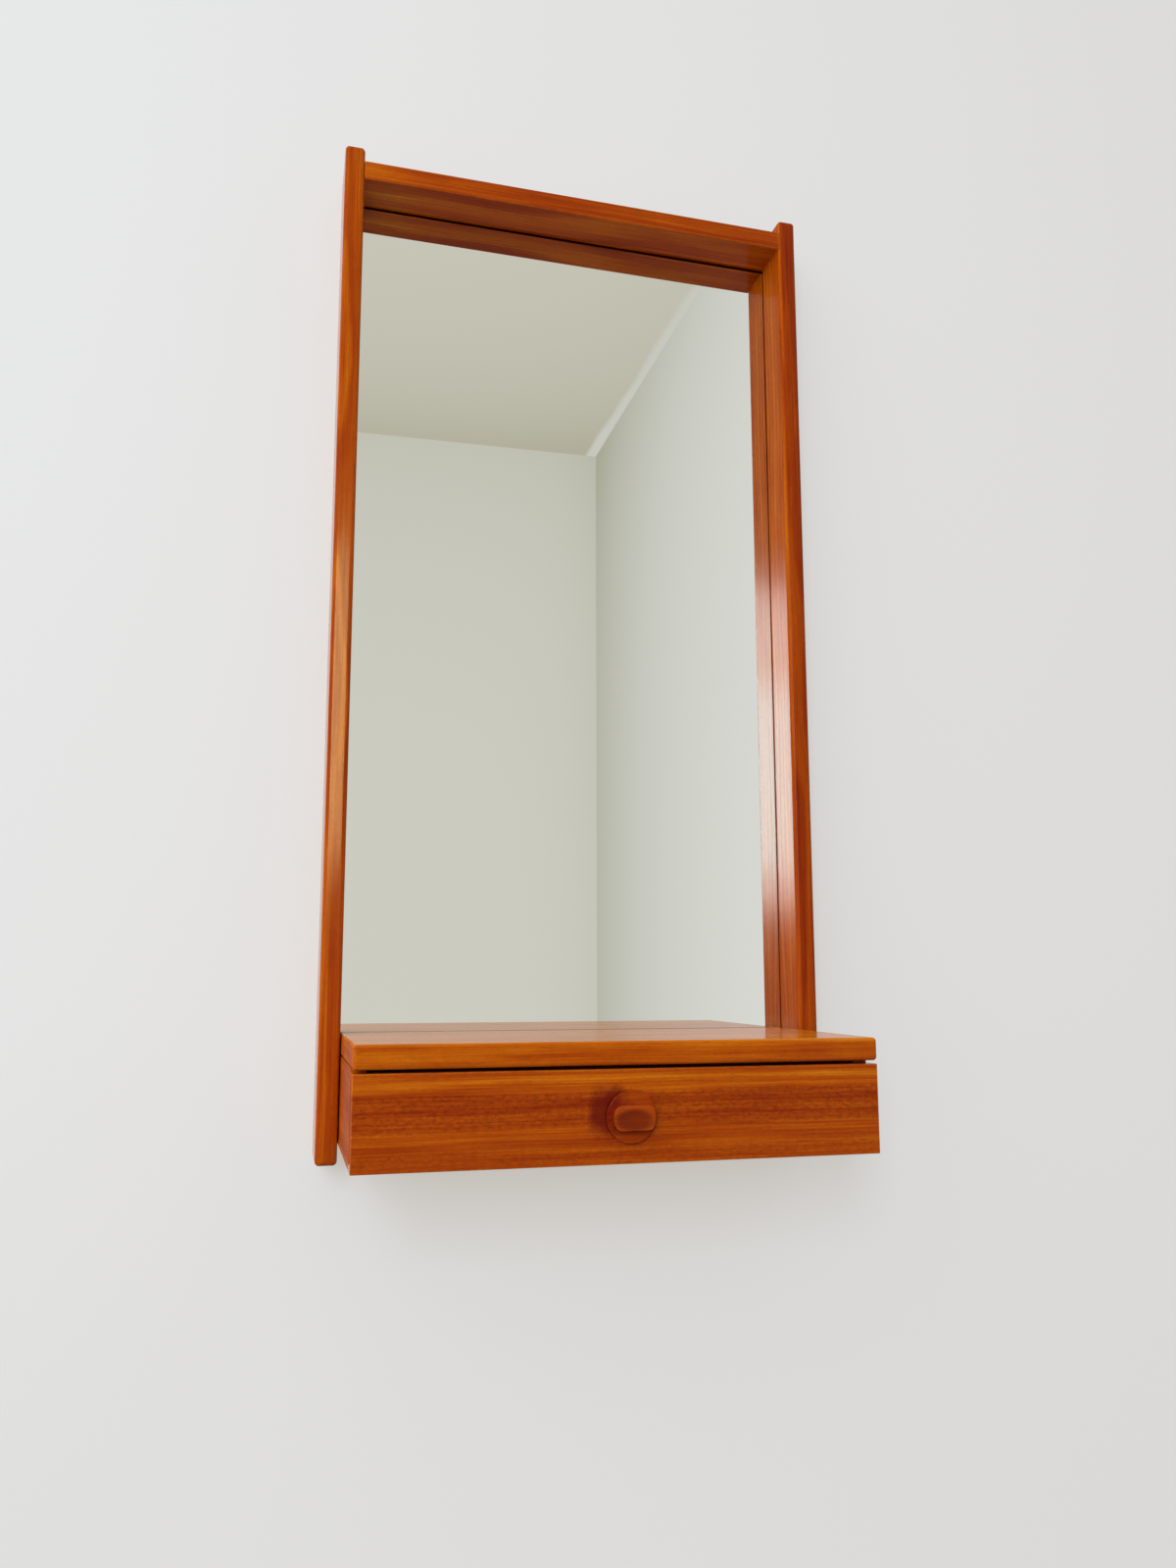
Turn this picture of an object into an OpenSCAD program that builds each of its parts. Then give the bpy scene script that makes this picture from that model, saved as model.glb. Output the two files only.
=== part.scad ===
// Wall mirror in a teak frame, with a shelf and one drawer below the glass.
// X runs to the right, Y runs back into the wall and Z runs up, in millimetres.
// The origin lies on the wall plane, halfway between the entry holes of the two hanger plates.

/* [Frame] */
// Overall width across both stiles
frame_w = 400; // [340:5:520]
// Length of each stile
stile_h = 813; // [700:1:1000]
// Width of a stile's front face
stile_w = 16; // [15:0.5:22]
// Depth of the frame, from the stile fronts to the wall
frame_d = 50; // [48:0.5:60]
// Height by which the stiles stand above the top rail
horn_h = 12; // [5:0.5:24]
// Height of the top rail's front face
rail_h = 16; // [14:0.5:24]
// How far the top rail's front lies behind the stile fronts
rail_setback = 0.5; // [0:0.1:2]
// Rounding of the stiles' long edges and ends
stile_round = 3.5; // [1:0.25:4]
// Easing of the top rail's long edges
rail_round = 1; // [0.5:0.25:2]

/* [Mirror] */
// Depth from the stile fronts to the face of the glass
glass_recess = 36; // [30:0.5:38]
// Thickness of the glass
glass_t = 4; // [3:0.5:5]
// Width of the rebate lip that laps over the edges of the glass
rebate_w = 8; // [7:0.5:9]
// Gap between the edges of the glass and the rebate
glass_edge_gap = 1.5; // [0.5:0.25:3]
// Thickness of the backing board
backing_t = 3; // [2:0.5:4]

/* [Shelf and case] */
// Height of the shelf's top above the stiles' lower ends
shelf_top_h = 93.5; // [84:0.5:120]
// Thickness of the shelf
shelf_t = 16; // [14:0.5:22]
// How far the shelf stands in front of the stiles
shelf_reach = 125; // [100:1:160]
// Rounding of the shelf's edges
shelf_round = 2.75; // [1:0.25:3.5]
// Height from the shelf's top to the underside of the case
case_h = 80; // [78:0.5:88]
// Thickness of the case sides
case_side_t = 10; // [8:0.5:12]
// Gap between the case and the stile at each side
case_gap = 0.8; // [0.3:0.1:0.9]
// Easing of the case sides' lower edges
case_ease = 0.8; // [0.3:0.1:1.5]
// Gap between the ends of the lower rail and the rebates it lies in
lower_rail_gap = 0.2; // [0.1:0.1:0.8]

/* [Drawer] */
// Thickness of the drawer front
front_t = 16; // [12:0.5:18]
// Gap between the shelf and the top of the drawer front
front_gap = 2.3; // [1.5:0.1:4]
// How far the drawer front lies behind the shelf's front edge
front_setback = 1; // [0:0.1:3]
// Gap between the shut drawer front and the case sides
closing_gap = 0.3; // [0.1:0.1:1]
// Easing of the drawer front's edges
front_ease = 0.8; // [0.3:0.1:2]
// Thickness of the drawer sides
drawer_side_t = 10; // [9.5:0.5:12]
// Thickness of the drawer back
drawer_back_t = 10; // [8:0.5:14]
// Gap between the drawer and the case at each side
drawer_play = 0.8; // [0.4:0.1:0.9]
// Height from the top of the drawer sides to the shelf
drawer_top_gap = 4; // [2:0.5:8]
// Height of the drawer sides' lower edges above the underside of the case
drawer_foot_gap = 3; // [1:0.5:6]
// Gap between the shut drawer and the lower rail
drawer_back_gap = 6; // [3:0.5:20]
// Height by which the drawer sides stand above the drawer back
back_drop = 2; // [0:0.5:6]
// Easing of the drawer sides' top edges
drawer_ease = 1.2; // [0.4:0.1:2]
// Thickness of the drawer's bottom board
bottom_t = 4; // [3:0.5:5]
// Height of the bottom board above the drawer sides' lower edges
bottom_lift = 8; // [6:0.5:10]
// Depth of the grooves that hold the bottom board
bottom_groove = 5; // [3:0.5:6]
// Gap between the bottom board's edges and the floors of its grooves
bottom_gap = 0.3; // [0.1:0.1:0.8]

/* [Runners] */
// Height of a runner
runner_h = 10; // [8:0.5:12]
// Height of a runner's underside above the underside of the case
runner_lift = 26.5; // [24:0.5:29]
// Depth of the groove in a drawer side
runner_groove = 5.5; // [4.5:0.5:6]
// Gap between a runner's face and the floor of its groove
runner_floor_gap = 0.5; // [0.3:0.1:1]
// Running gap above and below a runner
runner_gap = 0.3; // [0.2:0.1:0.8]
// Length left solid at the front end of a drawer side
groove_stop = 16; // [15:1:30]
// Gap at each end of a runner, to the groove's stop and to the lower rail
runner_end_gap = 1.5; // [1:0.5:4]

/* [Knob] */
// Diameter of the knob's round base
knob_base_d = 35; // [31:0.5:40]
// Thickness of the knob's round base
knob_base_t = 4; // [2.5:0.25:5]
// Diameter of the grip where it leaves the base
knob_root_d = 29.5; // [27.5:0.5:30]
// Diameter of the grip at its front
knob_grip_d = 28.5; // [25:0.5:29]
// How far the knob stands out from the drawer front
knob_reach = 11.5; // [11:0.5:18]
// Height of the grip's front between its scooped top and underside
knob_grip_h = 17.5; // [14:0.5:20]
// Height of the grip at its waist
knob_waist_h = 12.5; // [10:0.5:13]
// Width of the oval dish in the knob's front
knob_dish_w = 24; // [18:0.5:24]
// Height of the oval dish in the knob's front
knob_dish_h = 12; // [8:0.5:12]
// Depth of the oval dish in the knob's front
knob_dish = 1.2; // [0.5:0.1:1.5]
// Rounding of the knob's edges
knob_ease = 0.9; // [0.4:0.1:1.2]

/* [Fastenings] */
// Diameter of the dowels
dowel_d = 6; // [5:0.5:6]
// Depth of a dowel in the end of a rail, side or front
dowel_deep = 12; // [8:0.5:13]
// Depth of a dowel across the grain of the piece it enters
dowel_shallow = 9.5; // [7:0.5:10]
// Diameter of the wood screws' shanks
screw_d = 3.5; // [3:0.25:4]
// Diameter of the wood screws' heads
screw_head_d = 6.8; // [5.5:0.1:7]
// Depth of a wood screw in the second piece it enters
screw_bite = 12; // [8:0.5:13]
// Diameter of the small pins
pin_d = 1.4; // [1.2:0.1:1.8]
// Length of the pins that hold the backing board
backing_pin_l = 12; // [10:0.5:14]
// Gap between a screw, pin or dowel and its hole
hole_gap = 0.05; // [0.02:0.01:0.1]

/* [Hanger plates] */
// Gap between the top rail's rebate and the tops of the hanger plates
hanger_gap = 15.5; // [2:0.5:60]
// Distance from a keyhole's centre line to the frame's outer side
keyhole_inset = 15; // [14.5:0.5:16]
// Diameter of the entry hole that a wall screw's head goes through
entry_d = 9; // [8:0.5:10]
// Width of the slot that a wall screw's shank rises in
slot_w = 4.4; // [4:0.1:5]
// Height from the entry hole's centre to the slot's top centre
slot_rise = 11; // [9:0.5:13]
// Thickness of a hanger plate
plate_t = 1.5; // [1:0.25:2]
// Width of a hanger plate
plate_w = 22; // [21:0.5:23]
// Height of a hanger plate
plate_h = 40; // [38:0.5:44]
// Gap between the frame's outer side and a hanger plate
plate_margin = 1; // [0.8:0.1:1.2]
// Diameter of the small screws that hold a hanger plate
plate_screw_d = 2.6; // [2.2:0.1:2.8]

/* [Hidden] */
$fn = 64;
// How far a cutter reaches past the face it opens
past = 1;
// Radius of the ball at a rounded corner, as a share of its edges' radius: a hair over 1
ball_share = 1.02;

// Heights, measured from the origin
plate_mid_z = slot_rise / 2;
rebate_top_z = plate_mid_z + plate_h / 2 + hanger_gap;
rail_z = rebate_top_z - rebate_w;
rail_top_z = rail_z + rail_h;
stile_top_z = rail_top_z + horn_h;
foot_z = stile_top_z - stile_h;
shelf_top_z = foot_z + shelf_top_h;
shelf_z = shelf_top_z - shelf_t;
case_z = shelf_top_z - case_h;
glass_foot_z = shelf_top_z - rebate_w;
glass_top_z = rebate_top_z - glass_edge_gap;

// Half widths, measured from the middle
outer_x = frame_w / 2;
inner_x = outer_x - stile_w;
rebate_x = inner_x + rebate_w;
glass_x = rebate_x - glass_edge_gap;
case_x = inner_x - case_gap;
case_inner_x = case_x - case_side_t;
drawer_x = case_inner_x - drawer_play;
drawer_inner_x = drawer_x - drawer_side_t;

// Depths, measured from the wall plane
stile_y = -frame_d;
rail_y = stile_y + rail_setback;
glass_y = stile_y + glass_recess;
backing_y = glass_y + glass_t;
backing_rear_y = backing_y + backing_t;
shelf_y = stile_y - shelf_reach;
front_y = shelf_y + front_setback;
front_rear_y = front_y + front_t;
case_side_y = front_rear_y + closing_gap;
drawer_rear_y = glass_y - drawer_back_gap;
lip_mid_y = (stile_y + glass_y) / 2;

// Drawer heights and the runner's place in its groove
front_top_z = shelf_z - front_gap;
drawer_z = case_z + drawer_foot_gap;
drawer_top_z = shelf_z - drawer_top_gap;
bottom_z = drawer_z + bottom_lift;
bottom_top_z = bottom_z + bottom_t;
back_top_z = drawer_top_z - back_drop;
runner_z = case_z + runner_lift;
runner_top_z = runner_z + runner_h;
runner_x = drawer_x - runner_groove + runner_floor_gap;
groove_y = front_rear_y + groove_stop;
runner_y = groove_y + runner_end_gap;
runner_rear_y = glass_y - runner_end_gap;
bottom_groove_gap = 0.2;

// Places of the dowels, screws and pins
rail_dowel_ys = [for (side = [-1, 1]) lip_mid_y + side * glass_recess / 4];
rail_dowel_z = rail_z + rail_h / 2;
case_side_mid_x = case_x - case_side_t / 2;
case_dowel_front = 18;
case_dowel_rear = 8;
case_dowel_ys = [
    for (i = [0:2]) (case_side_y + case_dowel_front) * (1 - i / 2) + (glass_y - case_dowel_rear) * i / 2
];
case_screw_inset = 10.5;
case_screw_zs = [case_z + case_screw_inset, shelf_z - case_screw_inset];
lap_screw_x = inner_x + rebate_w / 2;
lap_screw_inset = 20;
lap_screw_zs = [case_z + lap_screw_inset, glass_foot_z - lap_screw_inset];
shelf_screw_inset = 62;
shelf_screw_x = case_inner_x - shelf_screw_inset;
shelf_screw_z = (shelf_z + glass_foot_z) / 2;
runner_screw_inset = 18;
runner_screw_ys = [runner_y + runner_screw_inset, runner_rear_y - runner_screw_inset];
runner_screw_z = runner_z + runner_h / 2;
runner_screw_wall = 2;
runner_screw_l = case_x - runner_screw_wall - runner_x;
drawer_dowel_x = drawer_x - drawer_side_t / 2;
drawer_dowel_inset = 10.5;
drawer_dowel_low_z = (bottom_top_z + runner_z) / 2;
drawer_dowel_zs = [drawer_dowel_low_z, drawer_top_z - drawer_dowel_inset];
back_pin_zs = [drawer_dowel_low_z, drawer_top_z - drawer_dowel_inset];
back_pin_y = drawer_rear_y - drawer_back_t / 2;
drawer_pin_bite = 12;
back_pin_l = drawer_side_t + drawer_pin_bite;
bottom_pin_l = bottom_t + drawer_pin_bite;
bottom_pin_inset = 52;
bottom_pin_xs = [for (i = [-1:1]) i * (drawer_inner_x - bottom_pin_inset)];
pin_head_t = 0.5;
pin_head_rim = 0.6;
pin_head_d = pin_d + 2 * pin_head_rim;
side_pin_count = 4;
end_pin_count = 2;
backing_pin_y = backing_rear_y + pin_head_d / 2 + hole_gap;
side_pin_zs = [
    for (i = [1:side_pin_count])
        glass_foot_z + (glass_top_z - glass_foot_z) * (i - 0.5) / side_pin_count
];
end_pin_xs = [for (i = [1:end_pin_count]) glass_x * (2 * (i - 0.5) / end_pin_count - 1)];

// Knob and its screw
knob_z = (case_z + front_top_z) / 2;
knob_waist_y = (knob_base_t + knob_reach) / 2;
knob_screw_d = 4;
knob_screw_head_d = 8;
knob_screw_head_t = 2.6;
knob_screw_head_edge = 1;
knob_screw_slot = 1;
knob_screw_wall = 4;
knob_screw_bite = knob_reach - knob_screw_wall;

// Hanger plates
keyhole_x = outer_x - keyhole_inset;
plate_x = outer_x - plate_margin - plate_w;
plate_round = 2.5;
plate_gap = 0.1;
plate_screw_inset = 3.5;
plate_screw_x = rebate_x + plate_screw_inset;
plate_screw_step = 14;
plate_screw_head_d = 2 * plate_screw_d;
plate_screw_l = 12;

// Colours
teak = [0.66, 0.31, 0.09];
teak_light = [0.72, 0.38, 0.12];
beech = [0.78, 0.62, 0.42];
ply = [0.74, 0.60, 0.42];
hardboard = [0.42, 0.28, 0.17];
silver = [0.80, 0.83, 0.82];
steel = [0.62, 0.62, 0.60];

// ---- Shapes that repeat ----

// Square corner of side r, outside a quarter circle about the point given, towards sx and sy
module corner_waste(point, sx, sy, r) {
    translate(point) difference() {
        translate([sx < 0 ? -r - past : 0, sy < 0 ? -r - past : 0]) square(r + past);
        circle(r = r);
    }
}

// Flat outline between two corners, its corner radii listed anticlockwise from the lower left
module outline(lo, hi, r) {
    difference() {
        translate(lo) square(hi - lo);
        if (r[0] > 0) corner_waste([lo.x + r[0], lo.y + r[0]], -1, -1, r[0]);
        if (r[1] > 0) corner_waste([hi.x - r[1], lo.y + r[1]], 1, -1, r[1]);
        if (r[2] > 0) corner_waste([hi.x - r[2], hi.y - r[2]], 1, 1, r[2]);
        if (r[3] > 0) corner_waste([lo.x + r[3], hi.y - r[3]], -1, 1, r[3]);
    }
}

// Extrudes a flat shape drawn in X and Z, from y0 back to y1
module along_y(y0, y1) {
    translate([0, y1, 0]) rotate([90, 0, 0]) linear_extrude(y1 - y0) children();
}

// Extrudes a flat shape drawn in Y and Z, from x0 across to x1
module along_x(x0, x1) {
    translate([x0, 0, 0]) rotate([90, 0, 90]) linear_extrude(x1 - x0) children();
}

// Plain block between two corners
module block(lo, hi) {
    translate(lo) cube(hi - lo);
}

// What a board's front corner loses, towards sx and sz, where three rounded edges of radius r meet
module corner_ball_waste(point, sx, sz, r) {
    side = r + past;
    translate(point) difference() {
        translate([sx < 0 ? -side : 0, -side, sz < 0 ? -side : 0]) cube(side);
        sphere(r = r * ball_share);
    }
}

// Board between two corners, all its edges rounded by r apart from those of its back
module board(lo, hi, r) {
    difference() {
        intersection() {
            translate([0, 0, lo.z]) linear_extrude(hi.z - lo.z)
                outline([lo.x, lo.y], [hi.x, hi.y], [r, r, 0, 0]);
            along_y(lo.y, hi.y) outline([lo.x, lo.z], [hi.x, hi.z], [r, r, r, r]);
            along_x(lo.x, hi.x) outline([lo.y, lo.z], [hi.y, hi.z], [r, 0, 0, r]);
        }
        for (sx = [-1, 1], sz = [-1, 1]) {
            corner = [sx < 0 ? lo.x + r : hi.x - r, lo.y + r, sz < 0 ? lo.z + r : hi.z - r];
            corner_ball_waste(corner, sx, sz, r);
        }
    }
}

// Round bar along Z from the origin up, with a small bevel at each end
module dowel(length, d = dowel_d) {
    bevel = 0.6;
    rotate_extrude() polygon([
        [0, 0], [d / 2 - bevel, 0], [d / 2, bevel],
        [d / 2, length - bevel], [d / 2 - bevel, length], [0, length]
    ]);
}

// Countersunk wood screw along Z, its head flush with z = 0 and its point at the given length
module wood_screw(length, d = screw_d, head_d = screw_head_d) {
    head_t = (head_d - d) / 2;
    tip = 1.2 * d;
    slot = 0.22 * d;
    slot_depth = head_t / 2;
    difference() {
        rotate_extrude() polygon([
            [0, 0], [head_d / 2, 0], [d / 2, head_t], [d / 2, length - tip], [0, length]
        ]);
        translate([-head_d / 2 - past, -slot / 2, -past])
            cube([head_d + 2 * past, slot, past + slot_depth]);
    }
}

// Hole for a countersunk wood screw, to the screw's own outline and the hole gap
module screw_hole(length, d = screw_d, head_d = screw_head_d) {
    head_t = (head_d - d) / 2;
    r = d / 2 + hole_gap;
    head_r = head_d / 2 + hole_gap;
    rotate_extrude() polygon([
        [0, -past], [head_r, -past], [head_r, 0], [r, head_t], [r, length], [0, length]
    ]);
}

// Small pin along Z, its head below z = 0 and its point at the given length
module pin(length) {
    tip = pin_d;
    rotate_extrude() polygon([
        [0, -pin_head_t], [pin_head_d / 2, -pin_head_t], [pin_head_d / 2, 0],
        [pin_d / 2, 0], [pin_d / 2, length - tip], [0, length]
    ]);
}

// Straight hole along Z from z0 to z1
module hole(d, z0, z1) {
    translate([0, 0, z0]) cylinder(d = d + 2 * hole_gap, h = z1 - z0);
}

// ---- Places where pieces are fastened; each is used for the fastening and for its holes ----

// Dowels between the top rail and one stile, pointing to the right
module at_rail_dowels() {
    for (y = rail_dowel_ys)
        translate([inner_x, y, rail_dowel_z]) rotate([0, 90, 0]) children();
}

// Screws through the lower rail's lap into one stile, pointing to the front
module at_lap_screws() {
    for (z = lap_screw_zs)
        translate([lap_screw_x, 0, z]) rotate([90, 0, 0]) children();
}

// Screws through the lower rail into the shelf's rear edge, pointing to the front
module at_shelf_screws() {
    for (i = [-1:1])
        translate([i * shelf_screw_x, 0, shelf_screw_z]) rotate([90, 0, 0]) children();
}

// Dowels between the shelf and one case side, pointing up from the joint
module at_case_dowels() {
    for (y = case_dowel_ys)
        translate([case_side_mid_x, y, shelf_z]) children();
}

// Screws from inside the case through one case side into the stile, pointing to the right
module at_case_screws() {
    for (z = case_screw_zs)
        translate([case_inner_x, lip_mid_y, z]) rotate([0, 90, 0]) children();
}

// Screws through one runner into the case side, pointing to the right
module at_runner_screws() {
    for (y = runner_screw_ys)
        translate([runner_x, y, runner_screw_z]) rotate([0, 90, 0]) children();
}

// Dowels between the drawer front and one drawer side, pointing back from the joint
module at_drawer_dowels() {
    for (z = drawer_dowel_zs)
        translate([drawer_dowel_x, front_rear_y, z]) rotate([-90, 0, 0]) children();
}

// Pins through one drawer side into the drawer back, pointing to the middle
module at_back_pins() {
    for (z = back_pin_zs)
        translate([drawer_x - pin_head_t, back_pin_y, z]) rotate([0, -90, 0]) children();
}

// Pins through the bottom board into the drawer back, pointing up
module at_bottom_pins() {
    for (x = bottom_pin_xs)
        translate([x, back_pin_y, bottom_z]) children();
}

// Pins behind the backing board, into one stile's rebate wall
module at_side_pins() {
    for (z = side_pin_zs)
        translate([rebate_x - backing_pin_l / 2, backing_pin_y, z]) rotate([0, 90, 0]) children();
}

// Pins behind the backing board, up into the top rail
module at_top_pins() {
    for (x = end_pin_xs)
        translate([x, backing_pin_y, rebate_top_z - backing_pin_l / 2]) children();
}

// Pins behind the backing board, down into the lower rail
module at_foot_pins() {
    for (x = end_pin_xs)
        translate([x, backing_pin_y, glass_foot_z + backing_pin_l / 2]) rotate([180, 0, 0]) children();
}

// Small screws through one hanger plate, pointing to the front
module at_plate_screws() {
    for (side = [-1, 1])
        translate([plate_screw_x, 0, plate_mid_z + side * plate_screw_step]) rotate([90, 0, 0]) children();
}

// Screw from inside the drawer through its front into the knob, pointing to the front
module at_knob_screw() {
    translate([0, front_rear_y, knob_z]) rotate([90, 0, 0]) children();
}

// Both sides of the part
module both_sides() {
    children();
    mirror([1, 0, 0]) children();
}

// ---- Frame ----

// Outline of a hanger plate, larger all round by the gap given
module plate_outline(gap = 0) {
    lo = [plate_x - gap, plate_mid_z - plate_h / 2 - gap];
    hi = [plate_x + plate_w + gap, plate_mid_z + plate_h / 2 + gap];
    r = plate_round + gap;
    outline(lo, hi, [r, r, r, r]);
}

// Right-hand stile
module stile() {
    difference() {
        board([inner_x, stile_y, foot_z], [outer_x, 0, stile_top_z], stile_round);
        // rebate for the glass and the lower rail, stopped short of both ends
        block([inner_x - past, glass_y, case_z], [rebate_x, past, rebate_top_z]);
        // seat of the hanger plate
        along_y(-plate_t, past) plate_outline(plate_gap);
        at_rail_dowels() hole(dowel_d, -past, dowel_shallow);
        at_lap_screws() screw_hole(screw_bite - glass_y);
        at_case_screws() screw_hole(case_side_t + case_gap + screw_bite);
        at_side_pins() hole(pin_d, 0, backing_pin_l);
        at_plate_screws() screw_hole(plate_screw_l, plate_screw_d, plate_screw_head_d);
    }
}

module left_stile() {
    color(teak) mirror([1, 0, 0]) stile();
}

module right_stile() {
    color(teak) stile();
}

module top_rail() {
    r = rail_round;
    color(teak_light) difference() {
        along_x(-inner_x, inner_x)
            outline([rail_y, rail_z], [0, rail_top_z], [r, 0, 0, r]);
        // rebate for the top edge of the glass
        block([-inner_x - past, glass_y, rail_z - past], [inner_x + past, past, rebate_top_z]);
        both_sides() at_rail_dowels() hole(dowel_d, -dowel_deep, past);
        at_top_pins() hole(pin_d, 0, backing_pin_l);
    }
}

module top_rail_dowels() {
    color(beech) both_sides() at_rail_dowels()
        translate([0, 0, -dowel_deep]) dowel(dowel_deep + dowel_shallow);
}

module lower_rail() {
    end_x = rebate_x - lower_rail_gap;
    color(beech) difference() {
        block([-end_x, glass_y, case_z], [end_x, 0, glass_foot_z]);
        both_sides() at_lap_screws() screw_hole(screw_bite - glass_y);
        at_shelf_screws() screw_hole(screw_bite - glass_y);
        at_foot_pins() hole(pin_d, 0, backing_pin_l);
    }
}

module lower_rail_screws() {
    color(steel) both_sides() at_lap_screws() wood_screw(screw_bite - glass_y);
}

// ---- Mirror ----

module mirror_glass() {
    color(silver) block([-glass_x, glass_y, glass_foot_z], [glass_x, backing_y, glass_top_z]);
}

module mirror_backing() {
    color(hardboard) block([-glass_x, backing_y, glass_foot_z], [glass_x, backing_rear_y, glass_top_z]);
}

module backing_pins() {
    color(steel) {
        both_sides() at_side_pins() pin(backing_pin_l);
        at_top_pins() pin(backing_pin_l);
        at_foot_pins() pin(backing_pin_l);
    }
}

// ---- Hanger plates ----

// Right-hand hanger plate, with its keyhole over the hollow behind the backing board
module hanger_plate() {
    cut = plate_t + 2 * past;
    difference() {
        along_y(-plate_t, 0) plate_outline();
        translate([keyhole_x, past, 0]) rotate([90, 0, 0]) cylinder(d = entry_d, h = cut);
        translate([keyhole_x, past, slot_rise]) rotate([90, 0, 0]) cylinder(d = slot_w, h = cut);
        block([keyhole_x - slot_w / 2, -plate_t - past, 0], [keyhole_x + slot_w / 2, past, slot_rise]);
        at_plate_screws() screw_hole(plate_screw_l, plate_screw_d, plate_screw_head_d);
    }
}

module left_hanger_plate() {
    color(steel) mirror([1, 0, 0]) hanger_plate();
}

module right_hanger_plate() {
    color(steel) hanger_plate();
}

module hanger_screws() {
    color(steel) both_sides() at_plate_screws()
        wood_screw(plate_screw_l, plate_screw_d, plate_screw_head_d);
}

// ---- Shelf and case ----

module shelf() {
    color(teak_light) difference() {
        board([-case_x, shelf_y, shelf_z], [case_x, glass_y, shelf_top_z], shelf_round);
        both_sides() at_case_dowels() hole(dowel_d, -past, dowel_shallow);
        at_shelf_screws() screw_hole(screw_bite - glass_y);
    }
}

module shelf_screws() {
    color(steel) at_shelf_screws() wood_screw(screw_bite - glass_y);
}

// Right-hand case side
module case_side() {
    r = case_ease;
    difference() {
        along_y(case_side_y, glass_y)
            outline([case_inner_x, case_z], [case_x, shelf_z], [r, r, 0, 0]);
        at_case_dowels() hole(dowel_d, -dowel_deep, past);
        at_case_screws() screw_hole(case_side_t + case_gap + screw_bite);
        at_runner_screws() screw_hole(runner_screw_l);
    }
}

module left_case_side() {
    color(teak) mirror([1, 0, 0]) case_side();
}

module right_case_side() {
    color(teak) case_side();
}

module case_dowels() {
    color(beech) both_sides() at_case_dowels()
        translate([0, 0, -dowel_deep]) dowel(dowel_deep + dowel_shallow);
}

module case_screws() {
    color(steel) both_sides() at_case_screws() wood_screw(case_side_t + case_gap + screw_bite);
}

// Right-hand runner, with a lead-in bevel at its front end
module runner() {
    lead = 3;
    difference() {
        translate([0, 0, runner_z]) linear_extrude(runner_h) polygon([
            [case_inner_x, runner_y], [case_inner_x, runner_rear_y], [runner_x, runner_rear_y],
            [runner_x, runner_y + lead], [runner_x + lead / 2, runner_y]
        ]);
        at_runner_screws() screw_hole(runner_screw_l);
    }
}

module left_runner() {
    color(beech) mirror([1, 0, 0]) runner();
}

module right_runner() {
    color(beech) runner();
}

module runner_screws() {
    color(steel) both_sides() at_runner_screws() wood_screw(runner_screw_l);
}

// ---- Drawer ----

module drawer_front() {
    groove_x = drawer_inner_x + bottom_groove;
    color(teak_light) difference() {
        board([-case_x, front_y, case_z], [case_x, front_rear_y, front_top_z], front_ease);
        // groove for the bottom board
        block(
            [-groove_x, front_rear_y - bottom_groove, bottom_z],
            [groove_x, front_rear_y + past, bottom_top_z + bottom_groove_gap]
        );
        both_sides() at_drawer_dowels() hole(dowel_d, -dowel_shallow, past);
        at_knob_screw() hole(knob_screw_d, -past, front_t + past);
    }
}

// Right-hand drawer side
module drawer_side() {
    r = drawer_ease;
    difference() {
        along_y(front_rear_y, drawer_rear_y)
            outline([drawer_inner_x, drawer_z], [drawer_x, drawer_top_z], [0, 0, r, r]);
        // groove that rides on the runner, open at the rear
        block(
            [drawer_x - runner_groove, groove_y, runner_z - runner_gap],
            [drawer_x + past, drawer_rear_y + past, runner_top_z + runner_gap]
        );
        // groove for the bottom board
        block(
            [drawer_inner_x - past, front_rear_y - past, bottom_z],
            [drawer_inner_x + bottom_groove, drawer_rear_y + past, bottom_top_z + bottom_groove_gap]
        );
        at_drawer_dowels() hole(dowel_d, -past, dowel_deep);
        at_back_pins() hole(pin_d, -past, back_pin_l);
        at_back_pins() hole(pin_head_d, -past, 0);
    }
}

module left_drawer_side() {
    color(beech) mirror([1, 0, 0]) drawer_side();
}

module right_drawer_side() {
    color(beech) drawer_side();
}

module drawer_back() {
    color(beech) difference() {
        block(
            [-drawer_inner_x, drawer_rear_y - drawer_back_t, bottom_top_z],
            [drawer_inner_x, drawer_rear_y, back_top_z]
        );
        both_sides() at_back_pins() hole(pin_d, 0, back_pin_l);
        at_bottom_pins() hole(pin_d, 0, bottom_pin_l);
    }
}

module drawer_bottom() {
    edge_x = drawer_inner_x + bottom_groove - bottom_gap;
    color(ply) difference() {
        block(
            [-edge_x, front_rear_y - bottom_groove + bottom_gap, bottom_z],
            [edge_x, drawer_rear_y, bottom_top_z]
        );
        at_bottom_pins() hole(pin_d, -past, bottom_pin_l);
    }
}

module drawer_dowels() {
    color(beech) both_sides() at_drawer_dowels()
        translate([0, 0, -dowel_shallow]) dowel(dowel_deep + dowel_shallow);
}

module drawer_back_pins() {
    color(steel) both_sides() at_back_pins() pin(back_pin_l);
}

module drawer_bottom_pins() {
    color(steel) at_bottom_pins() pin(bottom_pin_l);
}

// Turned body of the knob along Z: a round base and a grip that narrows a little to its front
module knob_blank() {
    e = knob_ease;
    base_r = knob_base_d / 2;
    root_r = knob_root_d / 2;
    grip_r = knob_grip_d / 2;
    rotate_extrude() union() {
        square([base_r - e, knob_base_t]);
        square([base_r, knob_base_t - e]);
        translate([base_r - e, knob_base_t - e]) circle(r = e);
        polygon([
            [0, 0], [root_r, knob_base_t], [grip_r, knob_reach - e],
            [grip_r - e, knob_reach], [0, knob_reach]
        ]);
        intersection() {
            translate([grip_r - e, knob_reach - e]) circle(r = e);
            translate([grip_r - e, knob_reach - e]) square(e);
        }
    }
}

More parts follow.
